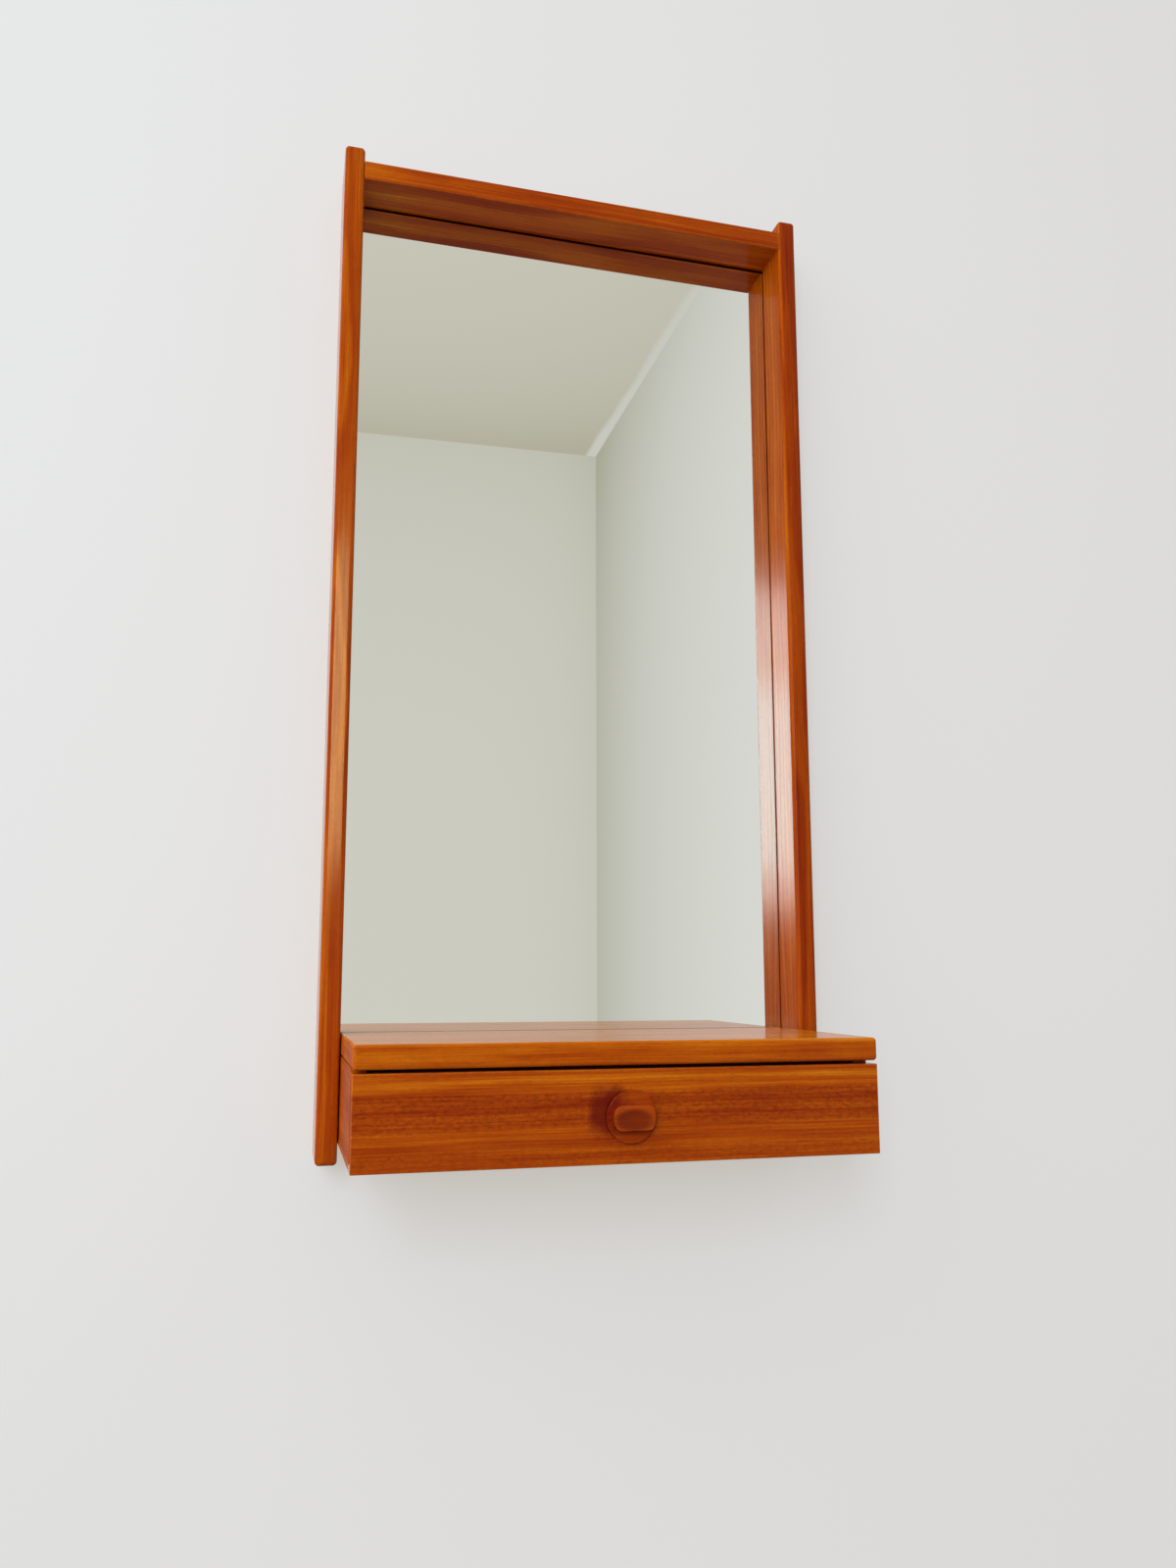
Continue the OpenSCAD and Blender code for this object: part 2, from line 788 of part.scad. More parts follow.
// Cutter that scoops one flank of the grip: an arc through its waist, open to the outside
module knob_scoop() {
    run = knob_reach - knob_waist_y;
    rise = (knob_grip_h - knob_waist_h) / 2;
    scoop_r = (run * run + rise * rise) / (2 * rise);
    scoop_h = knob_waist_h / 2 + scoop_r;
    depth = knob_reach + past - knob_base_t;
    along_x(-knob_base_d, knob_base_d) intersection() {
        union() {
            translate([scoop_h, knob_waist_y]) circle(r = scoop_r, $fn = 128);
            translate([scoop_h, knob_base_t]) square([knob_base_d, depth]);
        }
        translate([0, knob_base_t]) square([2 * knob_base_d, depth]);
    }
}

// Barrel-shaped cutter that hollows the oval dish in the knob's front
module knob_dish_cutter() {
    wide_r = (pow(knob_dish_w / 2, 2) + pow(knob_dish, 2)) / (2 * knob_dish);
    high_r = (pow(knob_dish_h / 2, 2) + pow(knob_dish, 2)) / (2 * knob_dish);
    translate([0, 0, knob_reach - knob_dish + wide_r]) rotate([90, 0, 0])
        rotate_extrude($fn = 128) translate([wide_r - high_r, 0]) circle(r = high_r);
}

module drawer_knob() {
    color(teak) translate([0, front_y, knob_z]) rotate([90, 0, 0]) difference() {
        knob_blank();
        knob_scoop();
        mirror([0, 1, 0]) knob_scoop();
        knob_dish_cutter();
        hole(knob_screw_d, -past, knob_screw_bite);
    }
}

module knob_screw() {
    length = front_t + knob_screw_bite;
    tip = knob_screw_d;
    head_r = knob_screw_head_d / 2;
    top = -knob_screw_head_t;
    edge = knob_screw_head_edge;
    slot = knob_screw_slot;
    color(steel) at_knob_screw() difference() {
        rotate_extrude() polygon([
            [0, top], [head_r - edge, top], [head_r, top + edge],
            [head_r, 0], [knob_screw_d / 2, 0], [knob_screw_d / 2, length - tip], [0, length]
        ]);
        translate([-head_r - past, -slot / 2, top - past])
            cube([2 * (head_r + past), slot, past + slot]);
    }
}

left_stile();
right_stile();
top_rail();
lower_rail();
top_rail_dowels();
lower_rail_screws();
mirror_glass();
mirror_backing();
backing_pins();
left_hanger_plate();
right_hanger_plate();
hanger_screws();
shelf();
shelf_screws();
left_case_side();
right_case_side();
case_dowels();
case_screws();
left_runner();
right_runner();
runner_screws();
drawer_front();
left_drawer_side();
right_drawer_side();
drawer_back();
drawer_bottom();
drawer_dowels();
drawer_back_pins();
drawer_bottom_pins();
drawer_knob();
knob_screw();
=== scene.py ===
# %% [markdown]
# # A teak wall mirror with a shelf and a drawer
# The joinery is already there: stiles, rails, shelf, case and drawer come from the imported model,
# in metres, with X to the right, Y into the wall and Z up. The origin lies on the wall plane,
# midway between the entry holes of the two hanger plates. This script gives the pieces their wood,
# lacquer, glass and steel, models the turned knob with its soft edges, and sets up the studio and
# the camera.

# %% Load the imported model
import math

import bpy
import numpy as np
from mathutils import Matrix, Vector


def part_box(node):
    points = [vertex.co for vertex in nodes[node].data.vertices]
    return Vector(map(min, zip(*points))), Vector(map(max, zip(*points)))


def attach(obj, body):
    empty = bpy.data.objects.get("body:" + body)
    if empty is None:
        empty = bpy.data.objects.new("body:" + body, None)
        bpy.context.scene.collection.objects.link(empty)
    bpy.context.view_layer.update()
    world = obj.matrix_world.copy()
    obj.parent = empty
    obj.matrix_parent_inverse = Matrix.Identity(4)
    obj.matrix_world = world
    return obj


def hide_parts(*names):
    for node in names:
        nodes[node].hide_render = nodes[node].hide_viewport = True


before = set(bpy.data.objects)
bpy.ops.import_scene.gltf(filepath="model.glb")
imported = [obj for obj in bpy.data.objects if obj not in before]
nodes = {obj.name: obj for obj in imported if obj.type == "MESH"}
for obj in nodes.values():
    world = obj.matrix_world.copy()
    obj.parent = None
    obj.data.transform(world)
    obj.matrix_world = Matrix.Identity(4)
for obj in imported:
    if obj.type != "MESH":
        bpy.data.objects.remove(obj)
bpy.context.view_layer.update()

MM = 0.001

# %% [markdown]
# ## Helpers for shader nodes
# Every finish below is a small network of shader nodes. Wiring each of them by hand takes three
# lines a node, so one helper adds a node and connects its inputs in the same call: an input is
# given either a plain value or another node's output. A second helper opens a node group, which
# is how an effect that many boards share, such as grain or edge wear, is built only once.


# %% Node helpers
def put(tree, kind, wires=None, **settings):
    """Adds one node; wires maps an input's name or number to a value or to another output."""
    node = tree.nodes.new(kind)
    for name, value in settings.items():
        setattr(node, name, value)
    for key, value in (wires or {}).items():
        if isinstance(value, bpy.types.NodeSocket):
            tree.links.new(value, node.inputs[key])
        else:
            node.inputs[key].default_value = value
    return node


def maths(tree, operation, *values):
    """One arithmetic step on numbers or outputs; gives its output."""
    return put(tree, "ShaderNodeMath", dict(enumerate(values)), operation=operation).outputs[0]


def vector_maths(tree, operation, first, second):
    """One arithmetic step on two vectors; gives its output."""
    wires = {0: first, 1: second}
    return put(tree, "ShaderNodeVectorMath", wires, operation=operation).outputs[0]


def scaled(tree, vector, factor):
    """A vector times a number."""
    return put(tree, "ShaderNodeVectorMath", {0: vector, 3: factor}, operation="SCALE").outputs[0]


def length_of(tree, vector):
    """A vector's length."""
    return put(tree, "ShaderNodeVectorMath", {0: vector}, operation="LENGTH").outputs[1]


def parts_of(tree, vector):
    """A vector's three parts."""
    return put(tree, "ShaderNodeSeparateXYZ", {0: vector}).outputs


print("node helpers: put, maths, vector_maths, scaled, length_of, parts_of")


# %% Colour and group helpers
def ramp(tree, value, *stops):
    """A colour ramp with (place, colour) stops; gives its colour output."""
    node = put(tree, "ShaderNodeValToRGB", {0: value})
    elements = node.color_ramp.elements
    while len(elements) < len(stops):
        elements.new(0.5)
    for element, (place, colour) in zip(elements, stops):
        element.position = place
        element.color = (*colour, 1)
    return node.outputs[0]


def blend_colours(tree, share, first, second, how="MIX"):
    """Mixes two colours by a share from 0 to 1; gives the colour output."""
    node = put(tree, "ShaderNodeMix", {0: share}, data_type="RGBA", blend_type=how)
    for number, colour in ((6, first), (7, second)):
        if isinstance(colour, bpy.types.NodeSocket):
            tree.links.new(colour, node.inputs[number])
        else:
            node.inputs[number].default_value = (*colour, 1)
    return node.outputs[2]


def group(name, inputs, outputs):
    """Opens a shader node group; gives the group, its input node and its output node."""
    tree = bpy.data.node_groups.new(name, "ShaderNodeTree")
    for title, kind in inputs:
        tree.interface.new_socket(title, in_out="INPUT", socket_type=f"NodeSocket{kind}")
    for title, kind in outputs:
        tree.interface.new_socket(title, in_out="OUTPUT", socket_type=f"NodeSocket{kind}")
    return tree, tree.nodes.new("NodeGroupInput").outputs, tree.nodes.new("NodeGroupOutput").inputs


def linear(red, green, blue):
    """Turns a screen colour from 0 to 255 into the linear colour that a shader takes."""
    screen = np.array([red, green, blue]) / 255
    return tuple(np.where(screen < 0.04045, screen / 12.92, ((screen + 0.055) / 1.055) ** 2.4))


print("an orange-brown teak is", [round(part, 3) for part in linear(176, 86, 18)])


# %% Position and noise helpers
GRAIN_ORDER = {"X": (0, 1, 2), "Y": (1, 0, 2), "Z": (2, 0, 1)}


def object_place(tree):
    """Object position in metres."""
    return put(tree, "ShaderNodeTexCoord").outputs["Object"]


def object_mm(tree):
    """Object position in millimetres: the vector and its three parts."""
    place = scaled(tree, object_place(tree), 1000.0)
    return place, parts_of(tree, place)


def along_grain(tree, parts, axis):
    """The position turned so that the grain runs along its first axis."""
    order = {number: parts[source] for number, source in enumerate(GRAIN_ORDER[axis])}
    return put(tree, "ShaderNodeCombineXYZ", order).outputs[0]


def noise(tree, place, scale, detail=2.0, roughness=0.5, stretch=None):
    """Noise from 0 to 1 at a position, which may be stretched first."""
    if stretch:
        place = vector_maths(tree, "MULTIPLY", place, stretch)
    return put(
        tree,
        "ShaderNodeTexNoise",
        {"Vector": place, "Scale": scale, "Detail": detail, "Roughness": roughness},
    ).outputs[0]


def smooth_step(tree, value, start, end):
    """0 before the start, 1 beyond the end and a soft rise between them; a swapped pair falls."""
    return put(
        tree,
        "ShaderNodeMapRange",
        {0: value, 1: start, 2: end},
        interpolation_type="SMOOTHSTEP",
    ).outputs[0]


def swing(tree, value, size, about):
    """A value from 0 to 1 made a swing of the size given: (value - 0.5) * size + about."""
    return maths(tree, "MULTIPLY_ADD", maths(tree, "SUBTRACT", value, 0.5), size, about)


print("grain can run along", ", ".join(GRAIN_ORDER))


# %% Material helpers
def new_material(name):
    """An empty material with a Principled shader; gives the material, its tree and the shader."""
    material = bpy.data.materials.new(name)
    material.use_nodes = True
    tree = material.node_tree
    tree.nodes.clear()
    shader = put(tree, "ShaderNodeBsdfPrincipled")
    put(tree, "ShaderNodeOutputMaterial", {"Surface": shader.outputs[0]})
    return material, tree, shader


def lay_over(tree, colour, layers):
    """Lays marks over a colour, one after another; each is (where it is, its share, its colour)."""
    for where, share, mark in layers:
        colour = blend_colours(tree, maths(tree, "MULTIPLY", where, share), colour, mark)
    return colour


def bump_by(tree, shader, relief, strength, depth):
    """Roughens a surface by a relief whose full swing is the depth in millimetres."""
    wires = {"Strength": strength, "Distance": depth * MM, "Height": relief}
    bump = put(tree, "ShaderNodeBump", wires)
    tree.links.new(bump.outputs[0], shader.inputs["Normal"])


print("material helpers: new_material, lay_over, bump_by")

# %% [markdown]
# ## How a board's figure is built
# Wood is not a picture on a surface: the rings run through the board, so a face, an edge and an
# end show the same rings cut three ways. The group below works in three dimensions, in
# millimetres, with its first coordinate along the grain. Rings are the distance from a wandering
# pith line that leans a little, read through one-dimensional noise so that their width varies.
# Fibres and pores are noise stretched far along the grain. Flecks are ragged patches, twice as long
# as they are wide, that make a lacquered board look mottled.

# %% Wood figure group
PITH_WANDER, PITH_LEAN = 22.0, 0.012
WANDER_STRETCH = (0.003, 0.02, 0.02)
FIBRE_SCALE, FIBRE_STRETCH = 0.75, (0.014, 1.0, 1.0)
PORE_SCALE, PORE_STRETCH, PORE_STEP = 2.6, (0.06, 1.0, 1.0), (0.60, 0.74)
FLECK_SCALE, FLECK_STRETCH, FLECK_STEP = 0.45, (0.5, 1.0, 1.0), (0.34, 0.70)


def build_figure():
    """Rings = noise(distance from the pith); fibres, pores, flecks = noise on stretched space."""
    tree, given, result = group(
        "wood_figure",
        [("Place", "Vector"), ("Pith", "Vector"), ("Ring Width", "Float"), ("Seed", "Float")],
        [("Rings", "Float"), ("Fibres", "Float"), ("Pores", "Float"), ("Flecks", "Float")],
    )
    shift = put(tree, "ShaderNodeCombineXYZ", {0: given["Seed"], 1: given["Seed"]}).outputs[0]
    place = vector_maths(tree, "ADD", given["Place"], shift)

    wander = noise(tree, place, 1.0, stretch=WANDER_STRETCH)
    wander = maths(tree, "MULTIPLY", wander, PITH_WANDER)
    parts = parts_of(tree, vector_maths(tree, "SUBTRACT", given["Place"], given["Pith"]))
    leaning = maths(tree, "MULTIPLY_ADD", parts[0], PITH_LEAN, parts[1])
    flat = put(tree, "ShaderNodeCombineXYZ", {0: leaning, 1: parts[2]}).outputs[0]
    radius = maths(tree, "ADD", length_of(tree, flat), wander)
    rings = maths(tree, "DIVIDE", radius, given["Ring Width"])
    banded = put(
        tree,
        "ShaderNodeTexNoise",
        {"W": maths(tree, "ADD", rings, given["Seed"]), "Scale": 1.0, "Detail": 3.0},
        noise_dimensions="1D",
    ).outputs[0]
    tree.links.new(banded, result["Rings"])
    fibres = noise(tree, place, FIBRE_SCALE, detail=3.0, roughness=0.65, stretch=FIBRE_STRETCH)
    tree.links.new(fibres, result["Fibres"])
    pores = noise(tree, place, PORE_SCALE, detail=1.0, stretch=PORE_STRETCH)
    tree.links.new(smooth_step(tree, pores, *PORE_STEP), result["Pores"])
    flecks = noise(tree, place, FLECK_SCALE, detail=4.0, roughness=0.7, stretch=FLECK_STRETCH)
    tree.links.new(smooth_step(tree, flecks, *FLECK_STEP), result["Flecks"])
    return tree


FIGURE = build_figure()
print("figure group:", len(FIGURE.nodes), "nodes")

# %% [markdown]
# ## Where a board gets worn
# Hands and dusters rub a board on its long edges first. A board is a box, so the distance to its
# nearest edge can be worked out from the position alone: of the three distances to the nearest
# faces, the smallest is zero on the surface and the second smallest is the distance to the edge.
# Noise breaks the worn line up, so that it never runs evenly. Worked out this way it needs no
# painting, holds from every side, and bakes.

# %% Edge wear group
PATCH_SCALE, PATCH_REACH = 0.12, 1.8


def build_edge_wear():
    """Worn = 1 at an edge and 0 beyond the width, by the middle one of three distances."""
    tree, given, result = group(
        "edge_wear",
        [("Place", "Vector"), ("Low", "Vector"), ("High", "Vector"), ("Width", "Float")],
        [("Worn", "Float")],
    )
    from_low = vector_maths(tree, "SUBTRACT", given["Place"], given["Low"])
    from_high = vector_maths(tree, "SUBTRACT", given["High"], given["Place"])
    x, y, z = parts_of(tree, vector_maths(tree, "MINIMUM", from_low, from_high))
    least = maths(tree, "MINIMUM", maths(tree, "MINIMUM", x, y), z)
    most = maths(tree, "MAXIMUM", maths(tree, "MAXIMUM", x, y), z)
    total = maths(tree, "ADD", maths(tree, "ADD", x, y), z)
    middle = maths(tree, "SUBTRACT", maths(tree, "SUBTRACT", total, least), most)
    patches = noise(tree, given["Place"], PATCH_SCALE, detail=3.0)
    reach = maths(tree, "MULTIPLY", given["Width"], maths(tree, "MULTIPLY", patches, PATCH_REACH))
    worn = put(
        tree,
        "ShaderNodeMapRange",
        {0: middle, 1: 0.0, 2: reach, 3: 1.0, 4: 0.0},
        interpolation_type="SMOOTHSTEP",
    ).outputs[0]
    tree.links.new(worn, result["Worn"])
    return tree


EDGE_WEAR = build_edge_wear()
print("edge wear group:", len(EDGE_WEAR.nodes), "nodes")

# %% [markdown]
# ## Teak under lacquer
# The frame is teak that has gone orange under an old semi-gloss lacquer. The wood itself is dull
# and the lacquer is a thin clear coat, so the shader has both: a rough base coloured by the figure,
# and a smooth coat over it. The coat is what turns the shelf and the inner faces pale where they
# are seen at a shallow angle. One face of a board, or its part near one end, may also be made paler
# by painted light: the right stile's inner face and the rail's left end where the window lights
# them, and the shelf's top as a painted reflection of the room. One face may be dull, its lacquer
# worn off. Each board gets its own material, because each has its own grain direction, its own
# place in the log and its own edges.
# All of them pick their colour from one palette by a single number, the tone: 0 is the darkest
# heartwood, 1 the palest streak.

# %% Teak palette and places
TEAK_SHADES = (
    (0.00, linear(116, 30, 3)),
    (0.25, linear(144, 50, 3)),
    (0.50, linear(168, 72, 4)),
    (0.75, linear(187, 96, 6)),
    (1.00, linear(206, 124, 24)),
)
PORE_COLOUR = linear(104, 36, 12)
FLECK_COLOUR = linear(108, 24, 5)
# A soft dark-red patch to the upper left of the knob.
DARK_PATCH_COLOUR = linear(92, 10, 8)
WORN_COLOUR = linear(214, 128, 44)
# Painted highlight on the knob's front, and painted shade in its dish.
FACE_HIGHLIGHT_COLOUR = linear(190, 90, 20)
DISH_SHADE_COLOUR = linear(92, 20, 6)


def corners_mm(node):
    """Lowest and highest corner of a node in millimetres."""
    low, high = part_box(node)
    return [1000 * part for part in low], [1000 * part for part in high]


def figure_of(tree, along, pith, ring_width, seed):
    """Adds the figure group for one board; gives its rings, fibres, pores and flecks."""
    figure = put(tree, "ShaderNodeGroup", {}, node_tree=FIGURE)
    tree.links.new(along, figure.inputs["Place"])
    figure.inputs["Pith"].default_value = pith
    figure.inputs["Ring Width"].default_value = ring_width
    figure.inputs["Seed"].default_value = seed
    return figure.outputs


def worn_edges(tree, place, low, high, width):
    """Adds the edge wear group for one board."""
    worn = put(tree, "ShaderNodeGroup", {}, node_tree=EDGE_WEAR)
    tree.links.new(place, worn.inputs["Place"])
    worn.inputs["Low"].default_value = low
    worn.inputs["High"].default_value = high
    worn.inputs["Width"].default_value = width
    return worn.outputs[0]


print("teak shades:", len(TEAK_SHADES), "from", [round(part, 3) for part in TEAK_SHADES[0][1]])

# %% Tones, marks and painted light of one board
RING_SWING, FIBRE_SWING, CLOUD_SWING = 0.7, 0.8, 0.45
CLOUD_STRETCH = (0.012, 0.05, 0.05)
WAVER_STRETCH, WAVER_HEIGHT = (0.010, 0.010, 0.05), 8.0
FACE_DEPTH = 2.5
DARK_PATCH_RAG_SCALE, DARK_PATCH_CORE = 0.09, 0.4
# The rim of the painted shade in the dish, and how far back the knob's painted highlight reaches.
DISH_SHADE_RIM = (1.9, 0.5)
FACE_HIGHLIGHT_DEEP, FACE_HIGHLIGHT_SHALLOW = 3.5, 0.8


def board_tone(tree, along, rings, fibres, bias):
    """Tone = 0.5 + bias + rings + fibres + clouds, the last three swinging about zero."""
    clouds = noise(tree, along, 1.0, stretch=CLOUD_STRETCH)
    tone = swing(tree, rings, RING_SWING, 0.5 + bias)
    tone = swing(tree, fibres, FIBRE_SWING, tone)
    return swing(tree, clouds, CLOUD_SWING, tone)


def tone_bands(tree, place, parts, low, high, bands):
    """Tone across a board's height from (share of height, tone) stops, with wavering borders."""
    waver = noise(tree, place, 1.0, stretch=WAVER_STRETCH)
    height = swing(tree, waver, WAVER_HEIGHT, parts[2])
    share = put(tree, "ShaderNodeMapRange", {0: height, 1: low[2], 2: high[2]}).outputs[0]
    return ramp(tree, share, *((stop, (tone, tone, tone)) for stop, tone in bands))


def on_face(tree, parts, low, high, axis, end, reach=FACE_DEPTH):
    """1 on the face at one end of an axis, falling to 0 at the reach behind it."""
    number = "XYZ".index(axis)
    border = low[number] if end == "low" else high[number]
    depth = maths(tree, "ABSOLUTE", maths(tree, "SUBTRACT", parts[number], border))
    return smooth_step(tree, depth, reach, 0.0)


def dark_patch(tree, place, centre, radius):
    """A dark-red patch beside the knob: a soft disc broken up by noise."""
    distance = length_of(tree, vector_maths(tree, "SUBTRACT", place, centre))
    ragged = noise(tree, place, DARK_PATCH_RAG_SCALE, detail=4.0)
    distance = swing(tree, ragged, radius, distance)
    return smooth_step(tree, distance, radius, DARK_PATCH_CORE * radius)


def painted_knob_face(tree, parts, centre, half_sizes, face_y):
    """Painted highlight on the knob's front, and painted shade in the oval of its dish."""
    x = maths(tree, "DIVIDE", maths(tree, "SUBTRACT", parts[0], centre[0]), half_sizes[0])
    z = maths(tree, "DIVIDE", maths(tree, "SUBTRACT", parts[2], centre[1]), half_sizes[1])
    oval = maths(tree, "ADD", maths(tree, "MULTIPLY", x, x), maths(tree, "MULTIPLY", z, z))
    dish_shade = smooth_step(tree, oval, *DISH_SHADE_RIM)
    face_highlight = smooth_step(tree, parts[1], face_y + FACE_HIGHLIGHT_DEEP, face_y + FACE_HIGHLIGHT_SHALLOW)
    return face_highlight, maths(tree, "MULTIPLY", dish_shade, face_highlight)


print("tone swings by rings, fibres and clouds:", RING_SWING, FIBRE_SWING, CLOUD_SWING)

# %% Lacquer
LACQUER_IOR = 1.14
LACQUER_ROUGHNESS, WORN_LACQUER = 0.14, 0.5


def lacquer(tree, shader, coat, roughness, dull_face):
    """The clear coat, as rough all over as given, or rougher where a dull face is given."""
    shader.inputs["Specular IOR Level"].default_value = 0.0
    shader.inputs["Coat Weight"].default_value = coat
    shader.inputs["Coat Roughness"].default_value = roughness
    shader.inputs["Coat IOR"].default_value = LACQUER_IOR
    if dull_face:
        duller = maths(tree, "MULTIPLY_ADD", dull_face, WORN_LACQUER - roughness, roughness)
        tree.links.new(duller, shader.inputs["Coat Roughness"])


print("lacquer: IOR", LACQUER_IOR, "and roughness", LACQUER_ROUGHNESS)

# %% Teak finish
WOOD_ROUGHNESS, PORE_ROUGHNESS = 0.4, 0.15
FIBRE_RELIEF, GRAIN_BUMP, GRAIN_DEPTH = 0.5, 0.3, 0.03
PORE_SHARE, FLECK_SHARE, DARK_PATCH_SHARE = 0.4, 0.15, 0.8
FACE_HIGHLIGHT_SHARE, DISH_SHADE_SHARE, WORN_SHARE = 0.25, 0.75, 0.25
WORN_WIDTH = 1.3
PLAIN_BAND, DARK_BAND = 0.5, 0.3


def teak(
    node,
    axis,
    pith,
    ring_width,
    seed,
    bias=0.0,
    bands=None,
    patch_by_knob=None,
    knob_face_light=None,
    painted_light=None,
    dull=None,
    coat=1.0,
    coat_roughness=LACQUER_ROUGHNESS,
):
    """Lacquered teak for one board.

    The bands across the board's height and the painted light on one face change the tone where they
    are given, and the flecks are stronger in a dark band. The tone picks a shade. Flecks, pores, the
    dark patch by the knob, the knob's painted highlight and painted dish shade, and the worn edges
    are laid over it in that order.
    """
    material, tree, shader = new_material(f"teak_{node}")
    place, parts = object_mm(tree)
    low, high = corners_mm(node)
    along = along_grain(tree, parts, axis)
    rings, fibres, pores, flecks = figure_of(tree, along, pith, ring_width, seed)
    tone = board_tone(tree, along, rings, fibres, bias)
    fleck_share = FLECK_SHARE
    if bands:
        band = tone_bands(tree, place, parts, low, high, bands)
        tone = swing(tree, band, 1.0, tone)
        wires = {0: band, 1: PLAIN_BAND, 2: DARK_BAND}
        darkness = put(tree, "ShaderNodeMapRange", wires).outputs[0]
        fleck_share = maths(tree, "ADD", darkness, FLECK_SHARE)
    # Painted light: one face, or the part of the board near one end, made paler.
    if painted_light:
        face, rise = painted_light
        tone = maths(tree, "MULTIPLY_ADD", on_face(tree, parts, low, high, *face), rise, tone)
    layers = [(flecks, fleck_share, FLECK_COLOUR), (pores, PORE_SHARE, PORE_COLOUR)]
    # A soft dark-red patch beside the knob.
    if patch_by_knob:
        layers.append((dark_patch(tree, place, *patch_by_knob), DARK_PATCH_SHARE, DARK_PATCH_COLOUR))
    # Painted highlight on the knob's front and painted shade in its dish.
    if knob_face_light:
        face_highlight, dish_shade = painted_knob_face(tree, parts, *knob_face_light)
        layers.append((face_highlight, FACE_HIGHLIGHT_SHARE, FACE_HIGHLIGHT_COLOUR))
        layers.append((dish_shade, DISH_SHADE_SHARE, DISH_SHADE_COLOUR))
    layers.append((worn_edges(tree, place, low, high, WORN_WIDTH), WORN_SHARE, WORN_COLOUR))
    colour = lay_over(tree, ramp(tree, tone, *TEAK_SHADES), layers)
    tree.links.new(colour, shader.inputs["Base Color"])
    roughness = maths(tree, "MULTIPLY_ADD", pores, PORE_ROUGHNESS, WOOD_ROUGHNESS)
    tree.links.new(roughness, shader.inputs["Roughness"])
    relief = maths(tree, "SUBTRACT", maths(tree, "MULTIPLY", fibres, FIBRE_RELIEF), pores)
    bump_by(tree, shader, relief, GRAIN_BUMP, GRAIN_DEPTH)
    dull_face = on_face(tree, parts, low, high, *dull) if dull else None
    lacquer(tree, shader, coat, coat_roughness, dull_face)
    return material


def dress(node, material):
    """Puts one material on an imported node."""
    part = nodes[node]
    part.data.materials.clear()
    part.data.materials.append(material)


print("shares of pores, flecks and worn edges:", PORE_SHARE, FLECK_SHARE, WORN_SHARE)

# %% Tone bands, a dark patch, and the knob's painted highlight and shade
FRONT_BANDS = (
    (0.00, 0.46),
    (0.14, 0.44),
    (0.26, 0.52),
    (0.36, 0.52),
    (0.41, 0.42),
    (0.76, 0.40),
    (0.81, 0.62),
    (0.92, 0.60),
    (0.97, 0.48),
)
front_face_y = corners_mm("drawer_front")[0][1]
knob_low, knob_high = corners_mm("drawer_knob")
knob_x, knob_z = (knob_low[0] + knob_high[0]) / 2, (knob_low[2] + knob_high[2]) / 2
# The dark-red patch on the drawer front and on the knob's disc, to the upper left of the knob.
FRONT_DARK_PATCH = ((knob_x - 14, front_face_y, knob_z + 3.65), 21)
KNOB_DARK_PATCH = ((knob_x - 13, front_face_y + 2, knob_z + 5.65), 18)
# Where the knob's painted highlight and dish shade lie: middle, half sizes of the oval, and front.
KNOB_FACE_LIGHT = ((knob_x - 1, knob_z - 1.35), (12, 6), knob_low[1])
print("the knob's axis is at x", round(knob_x, 2), "and z", round(knob_z, 2), "mm")

# %% Teak boards
TEAK_BOARDS = {
    "left_stile": dict(axis="Z", pith=(0, -150, 60), ring_width=4.0, seed=3.1),
    "right_stile": dict(
        axis="Z",
        pith=(0, 120, 80),
        ring_width=4.5,
        seed=7.7,
        bias=-0.24,
        # Painted light: the inner face, lit from the window on the left, made paler.
        painted_light=(("X", "low"), 0.29),
        coat=0.8,
        coat_roughness=0.2,
    ),
    "top_rail": dict(
        axis="X",
        pith=(0, -90, 150),
        ring_width=6.0,
        seed=11.3,
        bias=-0.08,
        # Painted light: the left 80 mm of the rail, nearer the window, made paler.
        painted_light=(("X", "low", 80), 0.3),
    ),
    "shelf": dict(
        axis="X",
        pith=(0, -120, -760),
        ring_width=6.0,
        seed=17.9,
        bias=0.03,
        # Painted reflection: the top made paler, as its lacquer mirrors the pale room.
        painted_light=(("Z", "high"), 0.3),
        dull=("X", "low"),
        coat=0.85,
    ),
    "left_case_side": dict(
        axis="Y",
        pith=(0, -260, -700),
        ring_width=5.0,
        seed=23.2,
        dull=("X", "low"),
    ),
    "right_case_side": dict(axis="Y", pith=(0, 260, -700), ring_width=5.0, seed=29.4),
    "drawer_front": dict(
        axis="X",
        pith=(0, -60, -900),
        ring_width=7.0,
        seed=31.8,
        bands=FRONT_BANDS,
        patch_by_knob=FRONT_DARK_PATCH,
    ),
    "drawer_knob": dict(
        axis="X",
        pith=(0, -230, -800),
        ring_width=6.0,
        seed=37.5,
        bias=-0.22,
        patch_by_knob=KNOB_DARK_PATCH,
        knob_face_light=KNOB_FACE_LIGHT,
    ),
}
for board, choices in TEAK_BOARDS.items():
    dress(board, teak(board, **choices))
print("teak boards:", ", ".join(TEAK_BOARDS))

# %% [markdown]
# ## The knob
# It is turned as a disc with a short stem, then its top and underside are hollowed by a cutter so
# that fingers find a hold, and an oval dish is sunk into its face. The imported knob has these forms
# with crisp borders. On the real one the sander has run them into each other, so the surface here
# follows the same sizes with every border eased: at each depth the outline is the soft minimum of
# a circle and of two hollowed flanks. Sizes are in millimetres, and depths run forward from the
# knob's back.

